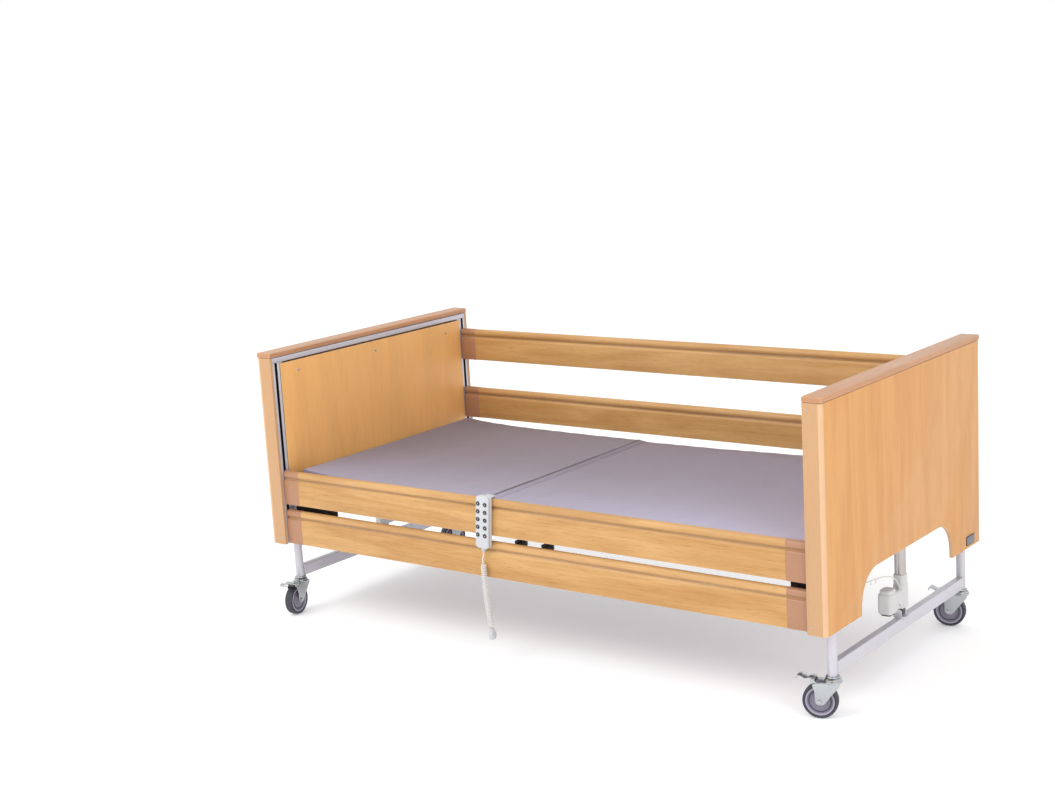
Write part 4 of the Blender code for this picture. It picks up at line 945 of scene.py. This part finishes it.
class CareBedDeck(bpy.types.Operator):
    """Build the deck frame's two halves, their clamps and the control box"""

    bl_idname = "care_bed.deck"
    bl_label = "Deck Frame"

    def execute(self, context):
        halves = {
            "head": (-0.9885, -0.018, (-0.960, -0.520, -0.300), 0.190),
            "foot": (0.9885, -0.014, (0.160, 0.420, 0.960), 0.080),
        }
        for end, (outer, inner, crosses, bracket) in halves.items():
            s = ENDS[end]
            parts, black = [], []
            for k in SIDES.values():
                parts.append(
                    block((outer, inner), (k * 0.385, k * 0.410), (0.405, 0.445), 0.0035, 0.0008, "x", 5)
                )
                angle = [
                    (0.395, 0.4055),
                    (0.450, 0.4055),
                    (0.450, 0.345),
                    (0.456, 0.345),
                    (0.456, 0.4115),
                    (0.395, 0.4115),
                ]
                angle = rounded(np.array(angle) * [k, 1], [0.001, 0.003, 0.001, 0.001, 0.004, 0.001], 4)
                black.append(slab(angle, outer, outer - s * bracket, 0.0008, "x"))
                for share in (0.25, 0.75):
                    at = (outer - s * bracket * share, k * 0.456, 0.372)
                    black.append(
                        placed(
                            slab(hexagon((0, 0), 0.0075), 0, 0.004), along(at, Vector(at) + Vector((0, k, 0)))
                        )
                    )
            parts += [
                block(about(x, 0.0125), (-0.3855, 0.3855), (0.415, 0.440), 0.003, 0.0008, "y", 4)
                for x in crosses
            ]
            pads = (-0.900,) if end == "head" else (0.900, 0.300)
            for x in pads:
                for k in SIDES.values():
                    parts.append(block(about(x, 0.012), (k * 0.398, k * 0.439), (0.442, 0.4605), 0.003))
                    black.append(
                        block(about(x, 0.011), (k * 0.402, k * 0.438), (0.460, 0.4655), 0.003, 0.001)
                    )
            hinge = HINGES["back" if end == "head" else "thigh"]
            nose = rounded(
                [
                    (hinge - 0.010, 0.442),
                    (hinge - 0.010, 0.488),
                    (hinge + 0.010, 0.488),
                    (hinge + 0.010, 0.442),
                ],
                [0.001, 0.0098, 0.0098, 0.001],
                8,
            )
            parts += [slab(nose, k * FIXED_LUG[0], k * FIXED_LUG[1], 0.0005, "y") for k in (-1, 1)]
            parts += hinge_bars(hinge, 0.397, 0.414, 0.0029)
            if end == "head":
                parts += ears(-0.520, 0.100, 0.3734, 0.417)
                parts += [tube_loop(-0.135, 0.025), slat(-0.055)]
                for x in (-0.095, -0.035):
                    parts += [
                        block(about(x, 0.010), (k * 0.395, k * 0.432), (0.442, 0.472), 0.002) for k in (-1, 1)
                    ]
            else:
                parts += ears(0.420, -0.100, 0.38284, 0.417)
                parts += [
                    block((-0.069, 0.006), (k * 0.3886, k * 0.4064), (0.4086, 0.4414), 0.002, 0.001, "x")
                    for k in (-1, 1)
                ]
            parts = made_of("silver_paint", *parts) + made_of("black_plastic", *black)
            build(f"deck_{end}_half", parts, "bed", [f"deck_frame_{end}"])

        knob = [
            (0.0085, 0.0215),
            (0.0185, 0.0205),
            (0.0192, 0.0170),
            (0.0192, 0.0060),
            (0.0175, 0.0022),
            (0.0060, 0.0),
        ]
        for side, k in SIDES.items():
            y = k * 0.3975
            parts = [block((-0.086, 0.053), about(y, 0.0115), (0.3975, 0.4045), 0.003)]
            for x in (-0.068, 0.035):
                grip = turned(knob, 64, lobes=7, depth=0.0016)
                parts += [
                    placed(grip, Matrix.Translation((x, y, 0.3395))),
                    rod((x, y, 0.358), (x, y, 0.399), 0.0048),
                ]
            build(
                f"clamp_{side}",
                made_of("black_plastic", *parts),
                "bed",
                [f"frame_clamp_{side}"],
            )

        low, high = span("control_box")
        parts = [
            (
                block((low[0], high[0]), (low[1], high[1]), (low[2], high[2] - 0.012), 0.008, 0.003, "z", 5),
                "grey_plastic",
            ),
            (
                block(
                    (low[0], high[0]), (low[1], high[1]), (high[2] - 0.0112, high[2]), 0.008, 0.003, "z", 5
                ),
                "grey_plastic",
            ),
        ]
        for i in range(5):
            y = low[1] + 0.022 + i * 0.0215
            parts.append(
                (rod((low[0] - 0.006, y, 0.385), (low[0] + 0.002, y, 0.385), 0.0072), "black_plastic")
            )
        build("control_case", parts, "bed", ["control_box"])
        return {"FINISHED"}


class CareBedSections(bpy.types.Operator):
    """Build the three folding sections' frames: tube loops, slats, hinge lugs and actuator levers"""

    bl_idname = "care_bed.sections"
    bl_label = "Folding Sections"

    def lever(self, root, tip, y):
        root, tip = np.array(root), np.array(tip)
        way = unit(tip - root)
        aside = np.array([-way[1], way[0]]) * 0.011
        outline = [root - aside, root + aside, tip + aside + way * 0.010, tip - aside + way * 0.010]
        plate = slab(rounded(outline, [0.002, 0.002, 0.0098, 0.0098], 8), y - 0.004, y + 0.004, 0.0006, "y")
        return [plate, rod((tip[0], y - 0.0105, tip[1]), (tip[0], y + 0.0105, tip[1]), 0.0042)]

    def execute(self, context):
        back = [tube_loop(-0.945, -0.185)] + [slat(x) for x in (-0.380, -0.570, -0.760)]
        back += self.lever((-0.185, 0.477), (-0.11563, 0.38284), -0.100) + lug(-0.160, -0.189, MOVING_LUG)
        thigh = [tube_loop(0.075, 0.355), slat(0.215)] + self.lever((0.075, 0.477), (0.04085, 0.37340), 0.100)
        thigh += lug(0.050, 0.079, MOVING_LUG) + lug(0.380, 0.351, MOVING_LUG)
        calf = [tube_loop(0.405, 0.945), slat(0.580), slat(0.760)] + lug(0.380, 0.409, FIXED_LUG)
        calf += hinge_bars(0.380, 0.397, 0.414, 0.0029)
        for name, parts, body in (
            ("back", back, "backrest"), ("thigh", thigh, "thigh_rest"), ("calf", calf, "calf_rest")
        ):
            build(f"{name}_loop", made_of("silver_paint", *parts), body, [f"{name}_frame"])
        return {"FINISHED"}


class CareBedSectionActuators(bpy.types.Operator):
    """Build the back and leg actuators under the deck: housing, motor, barrel, and the rod with its fork"""

    bl_idname = "care_bed.section_actuators"
    bl_label = "Section Actuators"

    def execute(self, context):
        made = (
            ("back", 0.420, (-0.11563, -0.100, 0.38284), 0.180, 0.020),
            ("leg", -0.520, (0.04085, 0.100, 0.37340), -0.230, -0.120),
        )
        for name, anchor, (tip, y, z), inside, mouth in made:
            s = math.copysign(1, tip - anchor)
            gear = anchor + s * 0.095
            parts = [
                (
                    block(
                        (anchor + s * 0.015, gear + s * 0.030),
                        about(y, 0.019),
                        (z - 0.022, z + 0.015),
                        0.007,
                        0.003,
                        "x",
                        5,
                    ),
                    "white_plastic",
                ),
                (rod((gear, y, z - 0.095), (gear, y, z - 0.018), 0.0235, 0.004, 0, 48), "white_plastic"),
                (rod((gear, y, z - 0.0945), (gear, y, z - 0.089), 0.0238, 0.001, 0, 48), "black_plastic"),
                (
                    block(
                        (anchor - s * 0.0088, anchor + s * 0.018),
                        about(y, 0.008),
                        about(z, 0.0088),
                        0.0085,
                        0.001,
                        "y",
                        6,
                    ),
                    "dark_steel",
                ),
                (rod((gear, y, z), (mouth, y, z), 0.0135, 0.0008, 0.0087, 40), "satin_aluminium"),
                (
                    rod((mouth + s * 0.0004, y, z), (mouth - s * 0.008, y, z), 0.0146, 0.001, 0.0087, 40),
                    "black_plastic",
                ),
            ]
            build(f"{name}_motor", parts, f"{name}_actuator", [f"{name}_actuator_housing"])
            heel = tip - s * 0.028
            parts = [(rod((inside, y, z), (heel + s * 0.004, y, z), 0.0080, 0.001, 0, 40), "satin_aluminium"),
                     (block((heel, heel + s * 0.009), about(y, 0.009), about(z, 0.010), 0.002), "dark_steel")]
            for k in (-1, 1):
                tine = block(
                    (heel, tip + s * 0.010),
                    (y + k * 0.0048, y + k * 0.0090),
                    about(z, 0.010),
                    0.0095,
                    0.0006,
                    "y",
                    6,
                )
                parts.append((tine, "dark_steel"))
            build(f"{name}_piston", parts, f"{name}_rod", [f"{name}_actuator_rod"])
        return {"FINISHED"}


# ---------------------------------------------------------------- covers
COVER_BOTTOM, COVER_HALF = 0.4885, 0.4435
COVER_HEIGHTS = (
    (-0.9535, 0.5115),
    (-0.923, 0.5100),
    (-0.850, 0.5035),
    (-0.705, 0.4975),
    (-0.413, 0.4945),
    (-0.163, 0.4945),
    (-0.1435, 0.4905),
    (0.125, 0.4920),
    (0.300, 0.4960),
    (0.468, 0.4995),
    (0.9535, 0.5005),
)


class CareBedCovers(bpy.types.Operator):
    """Build the woven covers of the deck, as thin wrapped slabs whose top follows the stretched cloth"""

    bl_idname = "care_bed.covers"
    bl_label = "Deck Covers"

    def top(self, x, y):
        """Height of the cloth: smoothed between its supports along the bed, a little lower across the
        middle of each open bay, and slightly wavy where it is pulled over the side tubes."""
        places, heights = np.array(COVER_HEIGHTS).T
        steps = np.linspace(-0.010, 0.010, 9)
        level = np.interp(x[..., None] + steps, places, heights).mean(-1)
        out = y / COVER_HALF
        sag = 0.0014 * (1 - out**2) * (0.6 + 0.4 * np.cos(x * 33))
        ripple = 0.0005 * np.sin(x * 71 + 1.3 * np.sin(x * 23)) * np.abs(out) ** 3
        return level - sag + ripple

    def cover(self, low, high, closed_ends=(1, 1)):
        """Rings across the bed, carried from low to high. A ring runs along the top (side 1), round the
        far edge, back along the bottom (side 0) and round the near edge. Near an edge it draws in
        edge(1 - sin t) while the faces close by edge(1 - cos t), and the cut ends marked closed do the
        same. Each point also carries painted light: the cloth is made paler towards the foot and the near edge."""
        bottom, half, edge = COVER_BOTTOM, COVER_HALF, 0.0030
        t = np.linspace(0, math.pi / 2, 6)
        draw, close = edge * (1 - np.sin(t)), 1 - np.cos(t)
        across = np.linspace(edge - half, half - edge, 80)[1:-1]
        y = np.concatenate(
            [across, half - draw, half - draw[::-1], across[::-1], draw - half, draw[::-1] - half]
        )
        flat = np.zeros(len(across))
        shut = np.concatenate([flat, close, close[::-1], flat, close, close[::-1]])
        side = np.repeat([1, 0, 1], [len(across) + 6, len(across) + 12, 6])
        long_way = np.linspace(low + edge, high - edge, 150)[1:-1]
        x = np.concatenate([low + draw[::-1], long_way, high - draw])
        ends = np.concatenate([closed_ends[0] * close[::-1], np.zeros(len(long_way)), closed_ends[1] * close])
        gx, gy = np.meshgrid(x, y, indexing="ij")
        thick = self.top(gx, gy) - bottom
        lost = np.minimum(edge, 0.46 * thick) * np.maximum(shut[None], ends[:, None])
        z = bottom + side * thick + (1 - 2 * side) * lost
        # Painted light: paler cloth towards the foot and the near edge, standing in for how the light falls
        # there.
        footward, nearward = np.clip((gx + 0.95) / 1.9, 0, 1), np.clip((0.4 - gy / half) / 1.4, 0, 1)
        painted_light = np.clip(0.55 * footward**1.6 + 0.55 * nearward**2, 0, 1)
        return loft(np.dstack([gx, gy, z]), wear_and_light=painted_light)

    def execute(self, context):
        bead_radius = settings("covers").bead
        back = self.cover(-0.9535, -0.1445)
        y = np.linspace(-0.4425, 0.4425, 90)
        ease = np.clip((0.4425 - np.abs(y)) / 0.004, 0, 1)
        lift = 0.4941 + 0.0005 * np.sin(y * 17) + 0.0002 * np.sin(y * 51)
        bead = swept(
            np.column_stack([-0.1715 + 0.0004 * np.sin(y * 29), y, lift]),
            bead_radius * (0.35 + 0.65 * np.sqrt(ease)),
            (0, 0, 1),
            sides=20,
        )
        cloth = build(
            "back_cloth",
            [(back, "woven_mesh"), (bead, "fabric_bead")],
            None,
            ["back_cover"],
            50,
        )
        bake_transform(cloth)
        seat = self.cover(-0.1435, 0.2150, (1, 0))
        cloth = build(
            "seat_cloth", [(seat, "woven_mesh")], None, ["seat_cover", "thigh_cover"], 50
        )
        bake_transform(cloth)
        calf = self.cover(0.2150, 0.9535, (0, 1))
        cloth = build("calf_cloth", [(calf, "woven_mesh")], None, ["calf_cover"], 50)
        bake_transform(cloth)
        return {"FINISHED"}


# ---------------------------------------------------------------- rails
class CareBedRails(bpy.types.Operator):
    """Build the four wooden bars with their bead and groove, moulded end caps and guide tongues"""

    bl_idname = "care_bed.rails"
    bl_label = "Side Rails"

    def profile(self, low, swell=0.0):
        """The bar's section as (y, z) from its low corner: flat below, a groove 29 mm under the top on
        both faces, and a round bead above it."""
        wide, tall, bead = 0.026, 0.116, 0.013
        t = np.radians(np.linspace(-62, 90, 14))
        right = [
            (wide - 0.0035, 0),
            (wide - 0.0008, 0.0012),
            (wide, 0.0040),
            (wide, tall - 0.0385),
            (wide - 0.0005, tall - 0.0350),
            (wide - 0.0018, tall - 0.0322),
            (wide - 0.0038, tall - 0.0302),
            (wide - 0.0066, tall - 0.0290),
            (wide - 0.0072, tall - 0.0268),
        ]
        right = np.vstack(
            [right, np.column_stack([wide - bead + bead * np.cos(t), tall - bead + bead * np.sin(t)])]
        )
        left = np.column_stack([wide - right[-2::-1, 0], right[-2::-1, 1]])
        outline = np.vstack([right, left])
        middle = outline.mean(0)
        return outline + low + swell * unit(outline - middle)

    def execute(self, context):
        end_length = settings("rails").end_length
        for side in SIDES:
            for level in ("upper", "lower"):
                name = f"{side}_{level}_rail"
                low, high = span(name)
                corner = (low[1], low[2])
                reach = 0.9885
                bar = slab(self.profile(corner), -reach + 0.003, reach - 0.003, 0.001, "x")
                parts = [(bar, "oak_bar")]
                middle = (low[1] + high[1]) / 2
                for k in (-1, 1):
                    # Painted shade: a thin strip of darker oak in the groove on each face, standing in for the
                    # groove's shadow.
                    groove_shade_band = (middle + k * 0.0050, middle + k * 0.0069)
                    shade = block(
                        (-0.985, 0.985), groove_shade_band, (high[2] - 0.0293, high[2] - 0.0243), 0.0003, 0.0002, "x", 1
                    )
                    parts.append((shade, "oak_groove"))
                for s in ENDS.values():
                    sleeve = slab(
                        self.profile(corner, 0.0007), s * (reach - end_length), s * reach, 0.0012, "x"
                    )
                    tongue = block(
                        (s * (reach - 0.01), s * (reach + 0.016)),
                        about(middle, 0.005),
                        (low[2] + 0.025, low[2] + 0.091),
                        0.002,
                        0.001,
                        "x",
                    )
                    parts += [(sleeve, "bar_end"), (tongue, "black_plastic")]
                build(name + "_bar", parts, name, [name], 30)
        return {"FINISHED"}


# ---------------------------------------------------------------- handset and cord
HANDSET_AT = Matrix.Translation((-0.116, -0.506, 0.445)) @ Matrix.Rotation(math.radians(4.57), 4, "Y")
COIL_TOP = np.array((-0.1275, -0.5175, 0.3120))
COIL_BOTTOM = np.array((-0.1110, -0.5175, 0.1080))


class CareBedHandset(bpy.types.Operator):
    """Build the handset: case with soft edges, hook, pockets' rims, and ten keys with plain arrow marks"""

    bl_idname = "care_bed.handset"
    bl_label = "Handset"

    def arrow(self, x, z, up, y):
        """A flat triangle on a key."""
        points = [(x - 0.0017, z - up * 0.0014), (x + 0.0017, z - up * 0.0014), (x, z + up * 0.0018)]
        return slab(rounded(points, 0.0003, 2), y - 0.0003, y, 0.0001, "y")

    def execute(self, context):
        corner = settings("handset").corner
        outline = rectangle((-0.025, 0.025), (-0.084, 0.084), corner, 10)
        front = -0.0225
        parts = [
            (slab(outline, front, -0.0095, 0.0060, "y", 7), "grey_plastic"),
            (
                slab(rectangle((-0.0248, 0.0248), (-0.0838, 0.0838), corner, 10), -0.0092, 0, 0.0030, "y", 5),
                "grey_plastic",
            ),
            (
                slab(
                    rectangle((-0.0205, 0.0205), (-0.058, 0.0745), 0.0095, 8),
                    front - 0.0004,
                    front + 0.001,
                    0.0003,
                    "y",
                ),
                "grey_plastic",
            ),
            (block((-0.015, 0.015), (-0.006, 0.0305), (0.0735, 0.0785), 0.003, 0.001), "grey_plastic"),
            (block((-0.015, 0.015), (0.0275, 0.0305), (0.0455, 0.0785), 0.003, 0.001, "y"), "grey_plastic"),
            (rod((0, front / 2, -0.082), (0, front / 2, -0.0905), 0.0068, 0.0015), "grey_plastic"),
        ]
        relief = [
            (0.0050, 0.0),
            (0.0050, 0.0018),
            (0.0040, 0.0024),
            (0.0047, 0.0030),
            (0.0046, 0.0048),
            (0.0037, 0.0054),
            (0.0043, 0.0060),
            (0.0041, 0.0078),
            (0.0032, 0.0084),
            (0.0036, 0.0090),
            (0.0029, 0.0105),
        ]
        parts.append(
            (
                placed(turned(relief, 24), along((0, front / 2, -0.0880), (0, front / 2, -0.0985))),
                "grey_plastic",
            )
        )
        rows = (0.060, 0.035, 0.010, -0.015, -0.040)
        t = np.linspace(0, 2 * math.pi, 32, endpoint=False)
        for i in range(10):
            x, z = (-0.0135, 0.0135)[i % 2], rows[i // 2]
            ring = np.array(
                [(0.0072, 0.0), (0.0071, 0.0006), (0.0066, 0.0009), (0.0056, 0.0006), (0.0054, 0.0)]
            )
            rim = placed(turned(ring, 32, closed=True), along((x, front - 0.0003, z), (x, front - 1, z)))
            parts.append((rim, "black_plastic"))
            face = front - 0.0018
            oval = np.stack([x + 0.0050 * np.cos(t), z + 0.0050 * np.sin(t)], 1)
            key = slab(oval, face, front + 0.005, 0.0014, "y", 5)
            marks = [(key, "black_plastic"), (self.arrow(x, z, 1 if i % 2 else -1, face), "symbol_print")]
            marks = [(placed(part, HANDSET_AT), finish) for part, finish in marks]
            name = f"handset_button_{i + 1:02d}"
            build(name + "_key", marks, name, [name])
        parts = [(placed(part, HANDSET_AT), finish) for part, finish in parts]
        build("handset_case", parts, "handset", ["handset_body"])
        return {"FINISHED"}


class CareBedCord(bpy.types.Operator):
    """Build the handset's cord as one line: a straight stretch, a curly stretch, and the plug that hangs"""

    bl_idname = "care_bed.cord"
    bl_label = "Handset Cord"

    def route(self):
        """The centre line and, for each of its points, the direction out of the coil. A smooth curve runs
        down to a helix: its centre plus radius times (cosine, sine) about the coil's own axis, where the
        radius opens over the first turn and closes over the last as (1 - cos) / 2."""
        chosen = settings("handset")
        way = unit(COIL_BOTTOM - COIL_TOP)
        start = np.array(HANDSET_AT @ Vector((0, -0.01125, -0.0983)))
        lead = [
            start,
            start + (-0.0012, 0, -0.010),
            COIL_TOP - way * 0.012 + (-0.001, 0, 0),
            COIL_TOP - way * 0.001,
        ]
        steps = chosen.coil_turns * 18
        share = np.linspace(0, 1, steps + 1)
        turn = 2 * math.pi * chosen.coil_turns * share
        aside = unit(np.cross(way, (0, 1, 0)))
        rise = np.cross(aside, way)
        open_up = np.clip(np.minimum(share, 1 - share) * chosen.coil_turns, 0, 1)
        radius = (0.0095 - chosen.wire / 2) * (1 - np.cos(open_up * math.pi)) / 2
        bow = 0.0038 * np.sin(math.pi * share)[:, None] * aside
        centre = COIL_TOP + share[:, None] * (COIL_BOTTOM - COIL_TOP) - bow
        ring = np.cos(turn)[:, None] * aside + np.sin(turn)[:, None] * rise
        coil = centre + radius[:, None] * ring
        tail = COIL_BOTTOM + way * np.array([[0.004], [0.009]])
        lead = smooth_route(lead, 9)[:-1]
        outward = np.vstack([np.repeat(ring[:1], len(lead), 0), ring, ring[-1:], ring[-1:]])
        return np.vstack([lead, coil, tail]), outward

    def execute(self, context):
        wire = settings("handset").wire
        path, outward = self.route()
        way = unit(COIL_BOTTOM - COIL_TOP)
        plug_at = along(COIL_BOTTOM + way * 0.0004, COIL_BOTTOM + way)
        body = slab(rectangle((-0.013, 0.013), (0.009, 0.040), 0.0122, 10), -0.009, 0.009, 0.006, "y", 6)
        shoulder = slab(
            rectangle((-0.0085, 0.0085), (-0.0065, 0.0065), 0.004, 8), 0.004, 0.012, 0.002, "z", 4
        )
        parts = made_of("grey_plastic", placed(body, plug_at), placed(shoulder, plug_at))
        plug = build("handset_cord_plug", parts, "handset", ["handset_plug"])
        cord = build("handset_curly_cord", [(swept(path, wire / 2, outward, sides=10), "cord_jacket")],
                     "handset", ["handset_cord", "handset_coil"], 60)
        return {"FINISHED"}


# ---------------------------------------------------------------- stage
CAMERA_AT = (3.104, -4.423, 1.821)
CAMERA_YAW, CAMERA_PITCH, CAMERA_ROLL = 37.73, 11.21, -3.37
LENS, SENSOR = 58.13, 36.0
FLOOR_REACH = 30.0


class CareBedStage(bpy.types.Operator):
    """Set the pale floor, half under each lift base, the soft lights and the camera"""

    bl_idname = "care_bed.stage"
    bl_label = "Stage"

    def light(self, name, at, aim, size, power):
        lamp = bpy.data.lights.new(name, "AREA")
        lamp.shape, lamp.size, lamp.size_y, lamp.energy = "RECTANGLE", size[0], size[1], power
        made = bpy.data.objects.new(name, lamp)
        made.matrix_world = Matrix.Translation(at) @ (Vector(at) - Vector(aim)).to_track_quat(
            "Z", "Y"
        ).to_matrix().to_4x4()
        bpy.context.scene.collection.objects.link(made)

    def execute(self, context):
        chosen = settings("stage")
        yaw, pitch, roll = (math.radians(a) for a in (CAMERA_YAW, CAMERA_PITCH, CAMERA_ROLL))
        ahead = Vector((-math.sin(yaw) * math.cos(pitch), math.cos(yaw) * math.cos(pitch), -math.sin(pitch)))
        right = Vector((math.cos(yaw), math.sin(yaw), 0))
        up = right.cross(ahead)
        side, top = right * math.cos(roll) + up * math.sin(roll), up * math.cos(roll) - right * math.sin(roll)
        camera = bpy.data.cameras.new("camera")
        camera.lens, camera.sensor_width, camera.sensor_fit = LENS, SENSOR, "HORIZONTAL"
        made = bpy.data.objects.new("camera", camera)
        turn = Matrix((side, top, -ahead)).transposed().to_4x4()
        made.matrix_world = Matrix.Translation(CAMERA_AT) @ turn
        bpy.context.scene.collection.objects.link(made)
        bpy.context.scene.camera = made
        bpy.context.scene.view_settings.view_transform = "Standard"

        paint = bpy.data.materials.new("floor_paint")
        paint.use_nodes = True
        shader = paint.node_tree.nodes["Principled BSDF"]
        shader.inputs["Base Color"].default_value = (*chosen.floor, 1)
        shader.inputs["Roughness"].default_value = 0.75
        shader.inputs["Specular IOR Level"].default_value = 0.1
        shader.inputs["Emission Color"].default_value = (1, 1, 1, 1)
        shader.inputs["Emission Strength"].default_value = chosen.glow
        for end, s in ENDS.items():
            reach = s * FLOOR_REACH
            sheet = bpy.data.meshes.new(f"{end}_floor")
            sheet.from_pydata(
                [(0, -reach, 0), (reach, -reach, 0), (reach, reach, 0), (0, reach, 0)], [], [(0, 1, 2, 3)]
            )
            sheet.materials.append(paint)
            floor = bpy.data.objects.new(f"{end}_floor", sheet)
            bpy.context.scene.collection.objects.link(floor)
            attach(floor, f"{end}_base")

        world = bpy.data.worlds.new("surround")
        world.use_nodes = True
        back = world.node_tree.nodes["Background"]
        back.inputs["Color"].default_value = (1, 1, 1, 1)
        back.inputs["Strength"].default_value = chosen.sky
        bpy.context.scene.world = world
        self.light("key_light", (-1.5, -4.0, 4.2), (0, 0, 0.5), (3.5, 2.5), chosen.key)
        self.light("front_light", (4.5, -2.5, 2.6), (0.6, 0, 0.6), (2.5, 2.0), chosen.fill)
        return {"FINISHED"}


# ---------------------------------------------------------------- panel and run
OPERATORS = (
    CareBedStage,
    CareBedCord,
    CareBedHandset,
    CareBedBoards,
    CareBedLiftFrames,
    CareBedBases,
    CareBedLifts,
    CareBedCastors,
    CareBedDeck,
    CareBedSections,
    CareBedSectionActuators,
    CareBedCovers,
    CareBedRails,
)


class CareBedPanel(bpy.types.Panel):
    """Settings of the bed, and a button for each group of pieces"""

    bl_idname = "VIEW3D_PT_care_bed"
    bl_label = "Adjustable Care Bed"
    bl_space_type = "VIEW_3D"
    bl_region_type = "UI"
    bl_category = "Care Bed"

    def draw(self, context):
        for name, kind in SETTINGS.items():
            box = self.layout.box()
            box.label(text=name.title())
            for prop in kind.__annotations__:
                box.prop(settings(name), prop)
        for operator in OPERATORS:
            self.layout.operator(operator.bl_idname)


CLASSES = (*SETTINGS.values(), *OPERATORS, CareBedPanel)


def register():
    for kind in CLASSES:
        bpy.utils.register_class(kind)
    for name, kind in SETTINGS.items():
        setattr(bpy.types.Scene, "care_bed_" + name, PointerProperty(type=kind))


def unregister():
    for name in SETTINGS:
        delattr(bpy.types.Scene, "care_bed_" + name)
    for kind in reversed(CLASSES):
        bpy.utils.unregister_class(kind)


def main():
    register()
    for operator in OPERATORS:
        getattr(bpy.ops.care_bed, operator.bl_idname.split(".")[1])()


if __name__ == "__main__":
    main()
